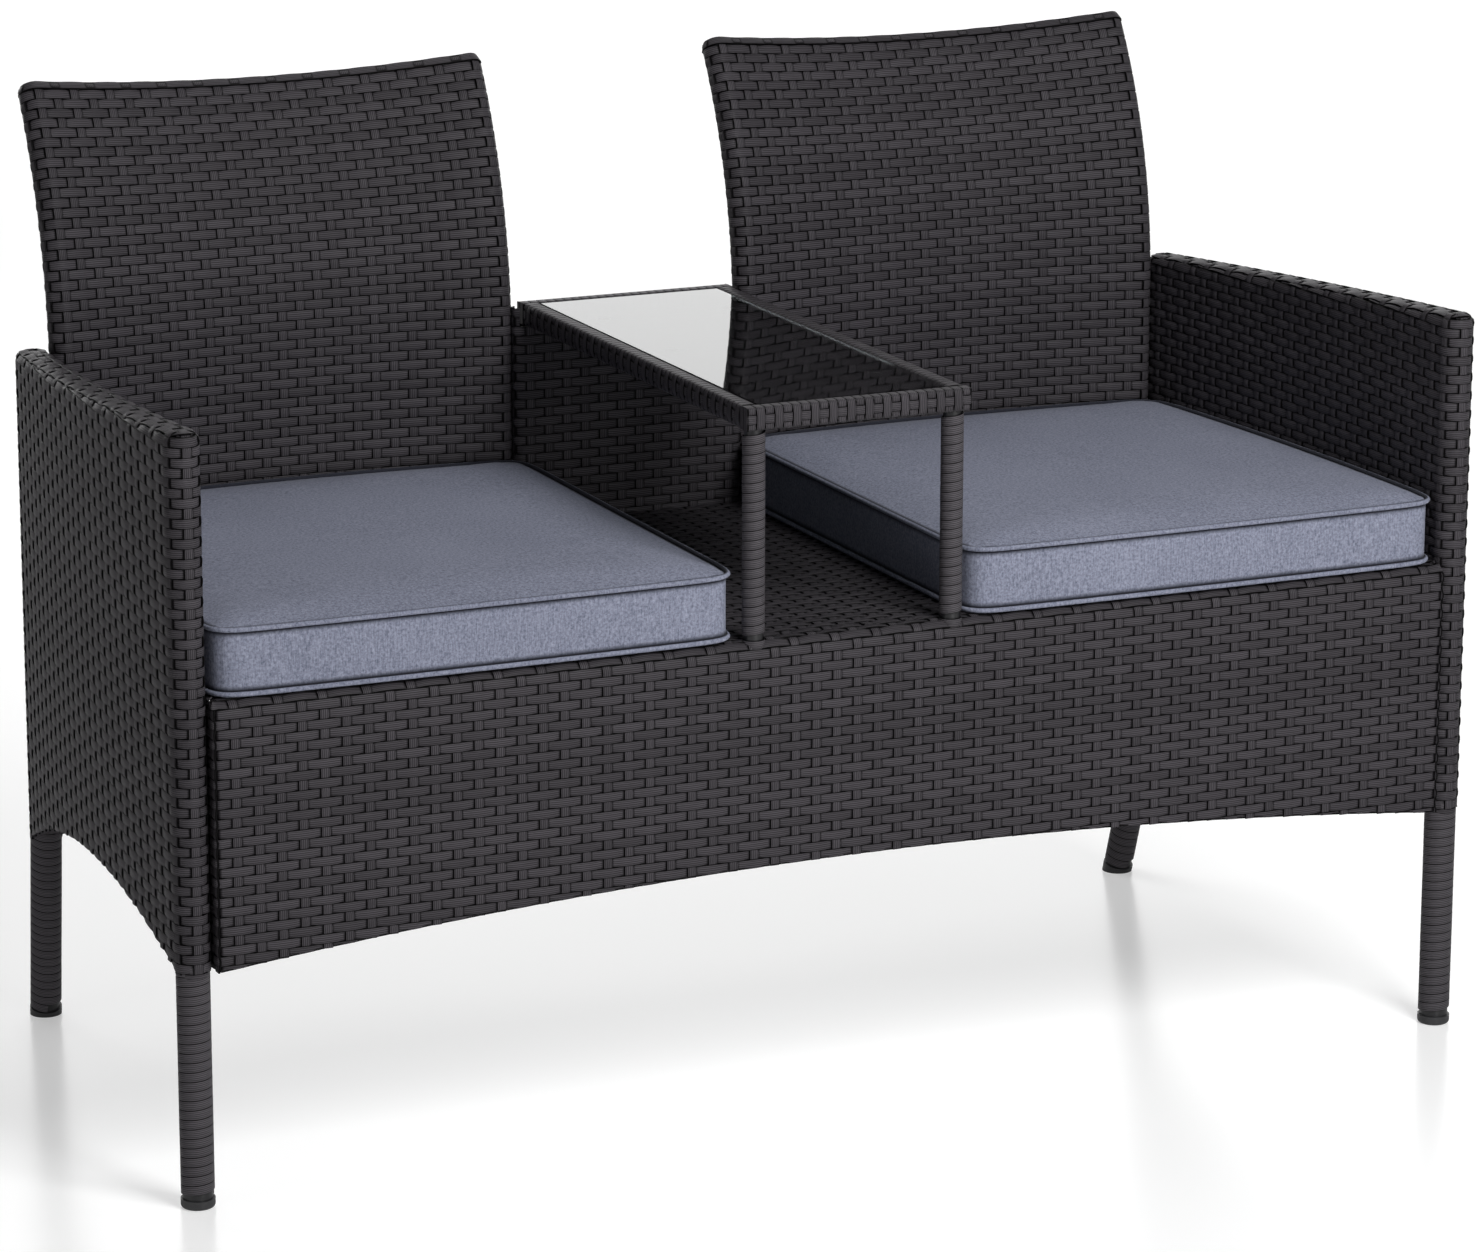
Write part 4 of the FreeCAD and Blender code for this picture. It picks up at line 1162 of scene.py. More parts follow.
class Apron:
    """Front apron with its rolled top edge and arched lower edge."""

    PITCH = 0.00822
    STAKES = 62
    # Lowest height that a row may start at, below the arched edge's ends
    LOWEST = 0.200
    # How far the rolled top goes on level behind the roll
    LEVEL = 0.0125
    # How far the woven ends swell out beyond the hard sleeve, towards the arms
    REACH = 0.0016
    # Radius in plan of the front corners
    CORNER = 0.0018
    # Depths of the strips that close the lower edge, and the lift of their middle above it
    LOWER_BANDS = (0.0042, 0.0118, 0.0194)
    BAND_LIFT = 0.0008

    def __init__(self, finish: bpy.types.Material) -> None:
        """Keeps the strip's material.

        Args:
            finish: the strip's material.
        """
        self.finish = finish
        self.inset = STOCK.inset
        self.roll = SIZES.apron_round - self.inset
        self.roll_start = SIZES.seat_height - SIZES.apron_round
        self.roll_end = self.roll_start + self.roll * QUARTER_TURN

    def outline(self) -> Outline:
        """Plan of a row: along the front and a short return at each end.

        Returns:
            The open outline, from the right rear end.
        """
        half = SIZES.apron_half + self.REACH - self.inset
        r = self.CORNER
        front = self.inset
        rear = SIZES.apron_depth - 0.001
        right = np.linspace([half, rear], [half, front + r], 12)
        left = np.linspace([-half, front + r], [-half, rear], 12)
        angle = np.linspace(0, QUARTER_TURN, 8)[1:-1]
        first = np.stack([half - r + r * np.cos(angle), front + r - r * np.sin(angle)], axis=1)
        second = np.stack([-half + r - r * np.sin(angle), front + r - r * np.cos(angle)], axis=1)
        face = np.linspace([half - r, front], [-half + r, front], 400)
        normals = [
            np.tile([1.0, 0.0], (len(right), 1)),
            np.stack([np.cos(angle), -np.sin(angle)], axis=1),
            np.tile([0.0, -1.0], (len(face), 1)),
            np.stack([-np.sin(angle), -np.cos(angle)], axis=1),
            np.tile([-1.0, 0.0], (len(left), 1)),
        ]
        return Outline(np.vstack([right, first, face, second, left]), np.vstack(normals), closed=False)

    def carry(self, plan: Array, normal: Array, height: Array) -> tuple[Array, Array]:
        """Upright face that rolls back over the front rail and goes on level.

        Args:
            plan: n by 2 points.
            normal: n by 2 directions away from the panel.
            height: height along the surface at each point.

        Returns:
            Points and directions away from the panel, in the model's frame.
        """
        facing = np.clip(-normal[:, 1], 0, 1)
        angle = np.clip((height - self.roll_start) / self.roll, 0, QUARTER_TURN)
        level = np.maximum(height - self.roll_end, 0)
        back = (self.roll * (1 - np.cos(angle)) + level) * facing
        rolled = np.minimum(height, self.roll_start) + self.roll * np.sin(angle)
        z = rolled * facing + np.minimum(height, self.roll_start + self.roll) * (1 - facing)
        point = np.stack([plan[:, 0], plan[:, 1] + back, z], axis=1)
        out = np.stack([normal[:, 0], normal[:, 1] * np.cos(angle), np.sin(angle) * facing], axis=1)
        return to_frame(point), unit(out)

    @staticmethod
    def arch(x: Array) -> Array:
        """Height of the arched lower edge, an arc of a circle through both ends and the crest.

        Args:
            x: places along the apron.

        Returns:
            One height per place.
        """
        half, rise = SIZES.apron_half, SIZES.apron_rise
        radius = (half * half + rise * rise) / (2 * rise)
        return SIZES.apron_end_height + rise - radius + np.sqrt(radius ** 2 - np.clip(x, -half, half) ** 2)

    def build(self) -> None:
        """Makes the rows, the stakes and the lower edge band."""
        line = self.outline()
        end = self.roll_end + self.LEVEL
        count = int(round((end - self.LOWEST) / self.PITCH))
        start = end - count * self.PITCH

        def high(plan: Array, normal: Array) -> Array:
            """The whole roll on the front, and on the returns the height of the roll at their depth.

            Args:
                plan: n by 2 points.
                normal: n by 2 directions away from the panel.

            Returns:
                One height per point.
            """
            ahead = np.clip(self.roll + self.inset - plan[:, 1], 0, self.roll)
            return np.where(normal[:, 1] < -0.6, end, self.roll_start + np.sqrt(self.roll ** 2 - ahead ** 2))

        panel = WovenPanel(
            outline=line, stakes=self.STAKES, pitch=self.PITCH, start=start, end=end, carry=self.carry,
            low=lambda plan, normal: self.arch(plan[:, 0]), high=high, seed=71)
        rows = panel.rows().build("apron_weave_rows", self.finish)
        panel.uprights().build("apron_weave_stakes", self.finish)
        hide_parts("apron_weave")
        bands = StripBatch(73)
        x = np.linspace(-SIZES.apron_half + 0.001, SIZES.apron_half - 0.001, 200)
        for y in self.LOWER_BANDS:
            point = to_frame(np.stack([x, np.full_like(x, y), self.arch(x) + self.BAND_LIFT], axis=1))
            bands.add(point, np.tile(-UP, (len(x), 1)))
        bands.build("apron_lower_edge_bands", self.finish)


class Deck:
    """Woven seat deck behind the apron."""

    PITCH = 0.0083
    SPACING = 0.0183
    # Depths where the weave starts, under the apron's edge, and ends, under the backrests
    FRONT = 0.0215
    REAR = 0.4800
    # How far the woven ends reach under the arm sides, so that no light comes through
    REACH = 0.0012
    # Spacing of a row's cross-sections, and how many a stake has
    STEP = 0.0046
    SECTIONS = 154
    # Half width within which stakes start, and how far they stay inside the deck's side
    HALF = 0.565
    MARGIN = 0.004
    # A stake with fewer cross-sections than this is left out
    LEAST = 8

    def __init__(self, finish: bpy.types.Material) -> None:
        """Keeps the strip's material.

        Args:
            finish: the strip's material.
        """
        self.finish = finish
        self.level = SIZES.seat_height - STOCK.inset

    def lay_rows(self) -> StripBatch:
        """Lays the rows from side to side.

        Returns:
            The strips.
        """
        rows = StripBatch(81, width=self.PITCH + STOCK.overlap)
        for row in range(int((self.REAR - self.FRONT) / self.PITCH)):
            y = self.FRONT + (row + 0.5) * self.PITCH
            edge = float(SIZES.arm_inner(y)) + self.REACH
            x = np.linspace(-edge, edge, int(2 * edge / self.STEP))
            phase = x / self.SPACING + row
            z = self.level + STOCK.swing * over_under(phase)
            line = to_frame(np.stack([x, np.full_like(x, y), z], axis=1))
            visible = 1 - 0.5 * STOCK.width / self.SPACING
            rows.add(line, np.tile(UP, (len(x), 1)), dip=dip_of(phase, visible))
        return rows

    def lay_stakes(self) -> StripBatch:
        """Lays the stakes from front to rear, each as far as the deck is wide enough.

        Returns:
            The strips.
        """
        stakes = StripBatch(82, width=STOCK.stake_width)
        reach = int(self.HALF / self.SPACING)
        for k in range(-reach, reach + 1):
            y = np.linspace(self.FRONT, self.REAR, self.SECTIONS)
            y = y[SIZES.arm_inner(y) + self.REACH > abs(k * self.SPACING) + self.MARGIN]
            if len(y) < self.LEAST:
                continue
            phase = k + (y - self.FRONT) / self.PITCH - 0.5
            z = self.level - STOCK.swing * over_under(phase)
            line = to_frame(np.stack([np.full_like(y, k * self.SPACING), y, z], axis=1))
            stakes.add(line, np.tile(UP, (len(y), 1)), dip=dip_of(phase + 1, 0.5))
        return stakes

    def build(self) -> None:
        """Makes rows from side to side over stakes from front to rear."""
        piece = self.lay_rows().build("seat_deck_rows", self.finish)
        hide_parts("seat_deck_weave")
        self.lay_stakes().build("seat_deck_stakes", self.finish)


class Backrest:
    """One woven backrest: straight up from the seat, then curved back, bowed across."""

    PITCH = 0.0088
    STAKES = 52
    # Length below the top edge over which the swing dies away
    CALM = 0.012

    def __init__(self, label: str, side: int, finish: bpy.types.Material) -> None:
        """Keeps which side this is.

        Args:
            label: "left" or "right".
            side: -1 for left, 1 for right.
            finish: the strip's material.
        """
        self.label = label
        self.middle = side * (SIZES.back_outer_x + SIZES.back_inner_x) / 2
        self.reach = (SIZES.back_outer_x - SIZES.back_inner_x) / 2
        self.straight = SIZES.back_straight_top - SIZES.back_bottom
        self.total = self.straight + SIZES.back_arc_radius * SIZES.back_lean
        self.roll = SIZES.back_round - STOCK.inset
        self.roll_start = self.total - SIZES.back_round
        self.finish = finish
        self.seed = 90 + side

    def carry(self, plan: Array, normal: Array, height: Array) -> tuple[Array, Array]:
        """Takes plan points up the line and the arc, turned with the lean, and over the rounded top edge.

        Args:
            plan: n by 2 points, x along the backrest from its first end.
            normal: n by 2 directions away from the panel.
            height: height along the surface at each point.

        Returns:
            Points and directions away from the panel, in the model's frame.
        """
        over = np.clip((height - self.roll_start) / self.roll, 0, QUARTER_TURN)
        plan = plan - normal * (self.roll * (1 - np.cos(over)))[:, None]
        height = np.minimum(height, self.roll_start) + self.roll * np.sin(over)
        angle = np.clip((height - self.straight) / SIZES.back_arc_radius, 0, None)
        y = SIZES.back_y + SIZES.back_arc_radius * (1 - np.cos(angle))
        z = SIZES.back_bottom + np.minimum(height, self.straight) + SIZES.back_arc_radius * np.sin(angle)
        point = np.stack([self.middle + plan[:, 0] - self.reach, y + plan[:, 1] * np.cos(angle),
                          z - plan[:, 1] * np.sin(angle)], axis=1)
        level = normal * np.cos(over)[:, None]
        rise = np.sin(over)
        out = np.stack([level[:, 0], level[:, 1] * np.cos(angle) + rise * np.sin(angle),
                        rise * np.cos(angle) - level[:, 1] * np.sin(angle)], axis=1)
        return to_frame(point), out

    def build(self) -> None:
        """Makes the rows, the stakes and the strip that closes the top edge."""
        loop = bowed_loop(2 * self.reach, SIZES.back_bow, SIZES.back_half - STOCK.inset)
        end = self.roll_start + self.roll * QUARTER_TURN
        count = round(end / self.PITCH)
        panel = WovenPanel(
            outline=loop, stakes=self.STAKES, pitch=end / count, start=0.0, end=end, carry=self.carry,
            low=lambda plan, normal: np.zeros(len(plan)), high=lambda plan, normal: np.full(len(plan), end),
            seed=self.seed, calm=self.CALM)
        rows = panel.rows().build(f"{self.label}_back_weave_rows", self.finish)
        panel.uprights().build(f"{self.label}_back_weave_stakes", self.finish)
        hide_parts(f"{self.label}_back_weave")
        # Two strips side by side close the narrow top face, a touch above the last row
        flat = SIZES.back_half - SIZES.back_round
        closing = StripBatch(self.seed + 5, width=flat)
        past = 0.002
        x = np.linspace(-past, 2 * self.reach + past, 120)
        bow = SIZES.back_bow * (1 - (x / self.reach - 1) ** 2)
        for offset in (-flat / 2, flat / 2):
            plan = np.stack([x, bow + offset], axis=1)
            point, out = self.carry(plan, np.zeros((len(x), 2)), np.full(len(x), end))
            closing.add(point + out * STOCK.swing / 3, out)
        closing.build(f"{self.label}_back_top_strips", self.finish)


class CentrePanel:
    """Low woven panel between the backrests that carries the rear of the table."""

    # How far its woven ends swell out against the backrests, so that no light comes through
    SWELL = 0.0014
    STAKES = 26
    ROWS_BELOW_RIM = 25
    ROWS_BESIDE_RIM = 2
    # Free height under the table's rim, and free width beside it
    BELOW = 0.0003
    BESIDE = 0.0009

    def __init__(self, finish: bpy.types.Material) -> None:
        """Keeps the strip's material.

        Args:
            finish: the strip's material.
        """
        self.finish = finish
        self.reach = SIZES.centre_half - SIZES.centre_radius + self.SWELL

    def carry(self, plan: Array, normal: Array, height: Array) -> tuple[Array, Array]:
        """Upright surface.

        Args:
            plan: n by 2 points, x along the panel from its first end.
            normal: n by 2 directions away from the panel.
            height: height of each point.

        Returns:
            Points and directions away from the panel, in the model's frame.
        """
        point = np.stack([plan[:, 0] - self.reach, plan[:, 1] + SIZES.centre_y, height], axis=1)
        out = np.stack([normal[:, 0], normal[:, 1], np.zeros(len(plan))], axis=1)
        return to_frame(point), out

    def build(self) -> None:
        """Makes the rows and the stakes."""
        loop = bowed_loop(2 * self.reach, 1e-5, SIZES.centre_radius - STOCK.inset)
        low = SIZES.back_bottom
        below_rim = SIZES.table_height - SIZES.rim_height - self.BELOW
        pitch = (below_rim - low) / self.ROWS_BELOW_RIM
        end = low + (self.ROWS_BELOW_RIM + self.ROWS_BESIDE_RIM) * pitch

        def high(plan: Array, normal: Array) -> Array:
            """Up to the rim, and beside the rim two rows more, so that no light comes through there.

            Args:
                plan: n by 2 points.
                normal: n by 2 directions away from the panel; not used.

            Returns:
                One height per point.
            """
            beside = np.abs(plan[:, 0] - self.reach) > SIZES.table_half + self.BESIDE
            return np.where(beside, end, below_rim)

        panel = WovenPanel(
            outline=loop, stakes=self.STAKES, pitch=pitch, start=low, end=end, carry=self.carry,
            low=lambda plan, normal: np.full(len(plan), low), high=high, seed=97)
        rows = panel.rows().build("centre_back_rows", self.finish)
        panel.uprights().build("centre_back_stakes", self.finish)
        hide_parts("centre_back_weave")


class Table:
    """Table rim and posts wound with strip, with a lengthwise strip woven into the rim's outside."""

    # The turns and the lengthwise strip of the rim stand out more than a plain weave does
    SWING = 0.0009
    # Depth of the strips' middle below the rim's hard outside
    SUNK = 0.0010
    # Radius that the turns keep at the rim's edges
    EDGE_RADIUS = 0.0024
    # Cross-sections to a turn of a post's winding
    SECTIONS = 22

    def __init__(self, finish: bpy.types.Material, wound: bpy.types.Material) -> None:
        """Keeps the strip's materials.

        Args:
            finish: material of the rim's strip.
            wound: material of the strip wound round the posts.
        """
        self.finish = finish
        self.wound = wound
        self.middle_z = SIZES.table_height - SIZES.rim_height / 2
        self.inset = SIZES.rim_width / 2

    def rail_section(self) -> Outline:
        """Rounded rectangle of the strip's middle line round a rail of the rim.

        Returns:
            The closed outline, x to the rail's outer side.
        """
        r = self.EDGE_RADIUS
        x = self.inset - self.SUNK - r
        z = SIZES.rim_height / 2 - self.SUNK - r
        points, normals = [], []
        for quarter, centre in enumerate(((x, z), (-x, z), (-x, -z), (x, -z))):
            angle = np.linspace(0, QUARTER_TURN, 5) + quarter * QUARTER_TURN
            normals.append(np.stack([np.cos(angle), np.sin(angle)], axis=1))
            points.append(np.array(centre) + r * normals[-1])
        return Outline(np.vstack(points), np.vstack(normals), closed=True)

    def wind_rim(self, wraps: StripBatch, start: Array, end: Array, outward: Array) -> None:
        """Winds one rail of the rim with closed turns, every second one under the lengthwise strip.

        Args:
            wraps: where the turns go.
            start: one end of the rail's middle line.
            end: its other end.
            outward: direction of the rail's outer side.
        """
        way = end - start
        count = int(round(float(np.linalg.norm(way)) / STOCK.turn))
        outline = self.rail_section()
        n = 30
        plan, normal = outline.at(np.arange(n) * outline.length / n)
        # 1 on the outer side where the lengthwise strip lies, fading out just above and below it
        outer = np.clip((normal[:, 0] - 0.9) / 0.1, 0, 1)
        near = outer * np.clip((0.0062 - np.abs(plan[:, 1])) / 0.0025, 0, 1)
        order = np.arange(n)
        if float(np.dot(np.cross(outward, UP), way)) >= 0:
            order = order[::-1]
        for k in range(count):
            place = start + way * ((k + 0.5) / count)
            swing = near * (self.SWING if k % 2 else -self.SWING)
            point = place + (plan[:, :1] + swing[:, None]) * outward + plan[:, 1:2] * UP
            out = normal[:, :1] * outward + normal[:, 1:2] * UP
            wraps.add(to_frame(point[order]), out[order], closed=True)

    def build_rim(self) -> None:
        """Makes the rim's turns, its lengthwise strips and the strips that close its front and rear rails."""
        full, half, inset = SIZES.table_half, SIZES.table_half - self.inset, self.inset
        front, rear = SIZES.table_front + inset, SIZES.table_rear - inset
        rails = [
            ((-full, front), (full, front), (0.0, -1.0, 0.0)),
            ((full, rear), (-full, rear), (0.0, 1.0, 0.0)),
            ((-half, rear - inset), (-half, front + inset), (-1.0, 0.0, 0.0)),
            ((half, front + inset), (half, rear - inset), (1.0, 0.0, 0.0)),
        ]
        wraps = StripBatch(101)
        lengthwise = StripBatch(102)
        # Upright strips close the end faces of the front and rear rails
        drop = SIZES.rim_height / 2 - 0.0008
        for side in (-1, 1):
            for y in (front - inset / 2, front + inset / 2, rear - inset / 2, rear + inset / 2):
                z = self.middle_z + np.linspace(drop, -drop, 12)
                line = np.stack([np.full(12, side * (full - 0.0007)), np.full(12, y), z], axis=1)
                wraps.add(to_frame(line), np.tile([float(side), 0.0, 0.0], (12, 1)))
        for first, last, facing in rails:
            start = np.array([*first, self.middle_z])
            end = np.array([*last, self.middle_z])
            outward = np.array(facing)
            self.wind_rim(wraps, start, end, outward)
            count = int(round(float(np.linalg.norm(end - start)) / STOCK.turn))
            share = np.linspace(0, 1, count * 4)
            swing = -self.SWING * over_under(share * count + 0.5)
            line = start + (end - start) * share[:, None] + outward * (inset - self.SUNK + swing)[:, None]
            lengthwise.add(to_frame(line), np.tile(outward, (len(share), 1)))
        rim = wraps.build("table_rim_winding", self.finish)
        lengthwise.build("table_rim_lengthwise_strips", self.finish)
        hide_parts("table_rim_wrap")

    def wind_post(self, label: str, side: int) -> None:
        """Winds one post, with a level ring of strip at its foot.

        Args:
            label: "left" or "right".
            side: -1 for left, 1 for right.
        """
        axis = np.array([side * SIZES.post_x, SIZES.post_y, 0.0])
        radius = SIZES.post_wrap_radius
        # The turns keep half a strip free at both ends, and the ring sinks into the apron's roll
        low = SIZES.seat_height + 0.0002
        turns = (SIZES.table_height - SIZES.rim_height - low - 0.008) / STOCK.turn
        batch = StripBatch(103 + side)
        batch.add(*wound_run(axis, radius, low + 0.004, turns, self.SECTIONS))
        angle = np.linspace(0, FULL_TURN, 30)[:-1]
        out = np.stack([np.cos(angle), np.sin(angle), np.zeros(len(angle))], axis=1)
        ring = axis + radius * out + UP * (low - 0.0035)
        batch.add(to_frame(ring), out, closed=True)
        piece = batch.build(f"table_{label}_post_winding", self.wound)
        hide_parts(f"table_{label}_post_wrap")

    def build(self) -> None:
        """Makes the rim and the two posts' windings."""
        self.build_rim()
        for label, side in SIDES:
            self.wind_post(label, side)


class Cushion:
    """Loose boxed seat cushion: inflated cover held at its two piped seams."""

    # Points along each side of the cover, and rows of faces in its side band
    GRID = 76
    BAND_ROWS = 9
    # How far the seams lie inside the swollen sides
    SEAM_INSET = 0.0042
    # Bow of the front edge and of the rear edge
    FRONT_BOW = 0.002
    REAR_BOW = 0.0135
    # Rise of the round shoulder beside the top seam, of the crown over the whole, and of the bottom's belly
    SHOULDER = 0.0050
    CROWN = 0.0020
    BELLY = 0.0015
    # How much of the corner's radius the corners are drawn in
    DRAWN = 0.30
    # How strong the painted shade of the crease is at the seam and at the first steps of the top and bottom
    # beside it
    CREASE_SHADE = (1.0, 0.7, 0.2, 0.0)
    CREASE_SHADE_BAND = 0.4
    # Most that the top and bottom, and the side band, may swell
    TOP_SWELL = 0.0050
    BAND_SWELL = 0.0026
    SIM_FRAMES = 20
    CORD_RADIUS = 0.0023
    # How far the cord's middle stands outside the seam
    CORD_OUT = 0.0016

    def __init__(self, label: str, side: int, finish: bpy.types.Material) -> None:
        """Keeps which side this is.

        Args:
            label: "left" or "right".
            side: -1 for left, 1 for right.
            finish: the cloth's material.
        """
        self.label = label
        self.side = side
        self.finish = finish

    def plan(self, u: Array, v: Array, inset: float) -> Array:
        """Takes a square from -1 to 1 to the cushion's plan.

        The sides are blended between the four edge lines, and the corners are drawn in by a high power of
        both coordinates, which leaves the middle of each side where it was.

        Args:
            u: place across the seat, -1 at the table and 1 at the arm.
            v: place from front to rear, -1 at the front.
            inset: how far all sides are drawn in.

        Returns:
            n by 2 plan points, y from the apron's front face.
        """
        y_front = SIZES.cushion_front + inset - self.FRONT_BOW * (1 - u ** 2)
        rear_line = SIZES.back_y - SIZES.back_half - SIZES.cushion_gap - inset
        y_rear = rear_line + self.REAR_BOW * (1 - u ** 2)
        y = y_front + (y_rear - y_front) * (v + 1) / 2
        outer = SIZES.arm_inner(y) - SIZES.cushion_gap - inset
        inner = SIZES.table_half + SIZES.cushion_gap + inset
        x = inner + (outer - inner) * (u + 1) / 2
        pull = (np.abs(u) * np.abs(v)) ** 18 * SIZES.cushion_corner * self.DRAWN
        x = x - np.sign(u) * pull
        y = y - np.sign(v) * pull
        return np.stack([self.side * x, y], axis=1)

    def shell(self) -> tuple[Array, Array, Array, Array]:
        """Points and faces of the sewn cover: top, bottom and side band share their seam points.

        Returns:
            Points, quads, the numbers of the points on the two seams, and how strong the painted shade of
            the crease beside a seam is at each point.
        """
        n = self.GRID
        # Finer steps towards the edges, so that the rounded corners and the seam's shoulder are held well
        t = np.linspace(-1, 1, n)
        t = np.sign(t) * (1 - (1 - np.abs(t)) ** 1.25)
        u, v = (grid.ravel() for grid in np.meshgrid(t, t, indexing="ij"))
        flat = self.plan(u, v, self.SEAM_INSET)
        shoulder = np.sqrt((1 - np.abs(u) ** 26) * (1 - np.abs(v) ** 26))
        crown = (1 - u ** 2) * (1 - v ** 2)
        rise = self.SHOULDER * shoulder + self.CROWN * crown
        top = np.column_stack([flat, SIZES.cushion_seam_high + rise])
        bottom = np.column_stack([flat, SIZES.cushion_seam_low - self.BELLY * shoulder])
        index = np.arange(n * n).reshape(n, n)
        ring = np.concatenate([index[:-1, 0], index[-1, :-1], index[:0:-1, -1], index[0, :0:-1]])
        corners = [index[:-1, :-1], index[1:, :-1], index[1:, 1:], index[:-1, 1:]]
        quads = np.stack(corners, axis=-1).reshape(-1, 4)
        # The side band between the two seams
        count = len(ring)
        between = self.BAND_ROWS - 1
        share = np.linspace(0, 1, self.BAND_ROWS + 1)[1:-1]
        band = bottom[ring][None] * (1 - share)[:, None, None] + top[ring][None] * share[:, None, None]
        verts = np.concatenate([top, bottom, band.reshape(-1, 3)])
        rows = 2 * n * n + np.arange(between * count).reshape(between, count)
        levels = np.concatenate([(ring + n * n)[None], rows, ring[None]])
        following = np.roll(levels, -1, axis=1)
        corners = [levels[:-1], following[:-1], following[1:], levels[1:]]
        band_quads = np.stack(corners, axis=-1).reshape(-1, 4)
        faces = np.concatenate([quads, quads[:, ::-1] + n * n, band_quads])
        if self.side < 0:
            faces = faces[:, ::-1]
        seams = np.concatenate([ring, ring + n * n])
        # Painted shade of the crease: full at the seams, fading over the first steps of the top and bottom
        place = np.minimum(np.arange(n), np.arange(n)[::-1])
        step = np.minimum(place[:, None], place[None, :]).ravel()
        fade = np.array(self.CREASE_SHADE)[np.minimum(step, len(self.CREASE_SHADE) - 1)]
        # Painted shade on the band's rows next to the two seams
        band_shade = np.zeros((between, count))
        band_shade[[0, -1]] = self.CREASE_SHADE_BAND
        crease = np.concatenate([fade, fade, band_shade.ravel()])
        return to_frame(verts), faces, seams, crease

    def inflate(self, obj: bpy.types.Object, seams: Array) -> None:
        """Swells the cover with cloth simulation, its seams held, and keeps a capped result.

        Args:
            obj: the cover.
            seams: numbers of the points that don't move.
        """
        rest = np.empty(len(obj.data.vertices) * 3, dtype=np.float32)
        obj.data.vertices.foreach_get("co", rest)
        rest = rest.reshape(-1, 3)
        held = obj.vertex_groups.new(name="seams")
        held.add([int(i) for i in seams], 1.0, "REPLACE")
        cloth = obj.modifiers.new("cover", "CLOTH")
        settings = cloth.settings
        settings.quality = 5
        settings.mass = 0.25
        settings.tension_stiffness = 12
        settings.compression_stiffness = 12
        settings.shear_stiffness = 4
        settings.bending_stiffness = 0.6
        settings.vertex_group_mass = "seams"
        settings.use_pressure = True
        settings.uniform_pressure_force = 4.0
        settings.effector_weights.gravity = 0.0
        cloth.point_cache.frame_start = 1
        cloth.point_cache.frame_end = self.SIM_FRAMES
        scene = bpy.context.scene
        for frame in range(1, self.SIM_FRAMES + 1):
            scene.frame_set(frame)
        depsgraph = bpy.context.evaluated_depsgraph_get()
        swollen = np.empty_like(rest).ravel()
        obj.evaluated_get(depsgraph).data.vertices.foreach_get("co", swollen)
        obj.modifiers.remove(cloth)
        scene.frame_set(1)
        shift = swollen.reshape(-1, 3) - rest
        far = np.linalg.norm(shift, axis=1, keepdims=True)
        LOG.info("%s swells by up to %.1f mm", obj.name, 1000 * float(far.max()))
        # The band may swell less than the top, which has nothing above it
        broad = 2 * self.GRID * self.GRID
        cap = np.where(np.arange(len(rest)) < broad, self.TOP_SWELL, self.BAND_SWELL)[:, None]
        shift = shift / np.maximum(far, 1e-9) * cap * np.tanh(far / cap)
        moved = rest + shift
        moved[:, 2] = np.maximum(moved[:, 2], SIZES.cushion_base + 0.0002)
        obj.data.vertices.foreach_set("co", moved.ravel())
        obj.data.update()

    def piping(self, verts: Array, ring: Array, height_shift: float) -> tuple[Array, Array, Array]:
        """Round cord sewn into a seam.

        Args:
            verts: points of the cover.
            ring: numbers of the seam's points in order.
            height_shift: how far the cord lies above the seam.

        Returns:
            Points and quads of a closed tube, a circle of eight carried round the seam, and the painted shade
            at
            each point: the cord's outer side is free and left unshaded, its inner side is sewn in and painted
                in shade.
        """
        line = verts[ring]
        centre = line.mean(axis=0)
        tangent = unit(np.roll(line, -1, axis=0) - np.roll(line, 1, axis=0))
        out = unit(np.cross(tangent, UP))
        if float(np.sum(out * (line - centre))) < 0:
            out = -out
        line = line + out * self.CORD_OUT + UP * height_shift
        n, k = len(line), 8
        angle = np.linspace(0, FULL_TURN, k + 1)[:-1]
        circle = np.cos(angle)[None, :, None] * out[:, None] + np.sin(angle)[None, :, None] * UP[None, None]
        points = line[:, None] + self.CORD_RADIUS * circle
        here = np.arange(n)[:, None] * k
        there = ((np.arange(n) + 1) % n)[:, None] * k
        j = np.arange(k)[None]
        j_next = (j + 1) % k
        faces = np.stack([here + j, here + j_next, there + j_next, there + j], axis=-1).reshape(-1, 4)
        # Painted shade on the cord's inner side, where it meets the cover beside the seam
        sewn = np.clip((0.3 - np.cos(angle)) / 0.5, 0, 1)
        return points.reshape(-1, 3), faces, np.tile(sewn, n)

    def finish_piece(self, obj: bpy.types.Object) -> None:
        """Smooths a cloth piece by one subdivision and lets it ride on this cushion's body.

        Args:
            obj: the piece.
        """
        smooth = obj.modifiers.new("smooth", "SUBSURF")
        smooth.levels = 1
        smooth.render_levels = 1
        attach(obj, Body(f"{self.label}_cushion").value)

    def build(self) -> None:
        """Makes the cover and its two rows of piping."""
        verts, faces, seams, crease = self.shell()
        name = f"{self.label}_cushion"
        # The cover's tone attribute carries the painted shade beside its seams
        cover = make_object(f"{name}_cover", verts, faces, self.finish, fields={"tone": crease})
        self.inflate(cover, seams)
        self.finish_piece(cover)
        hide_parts(name)
        half = len(seams) // 2
        for place, ring, shift in (("top", seams[:half], 0.0006), ("bottom", seams[half:], -0.0002)):
            points, quads, sewn = self.piping(verts, ring, shift)
            cord = make_object(f"{name}_{place}_piping", points, quads, self.finish, fields={"tone": sewn})
            self.finish_piece(cord)


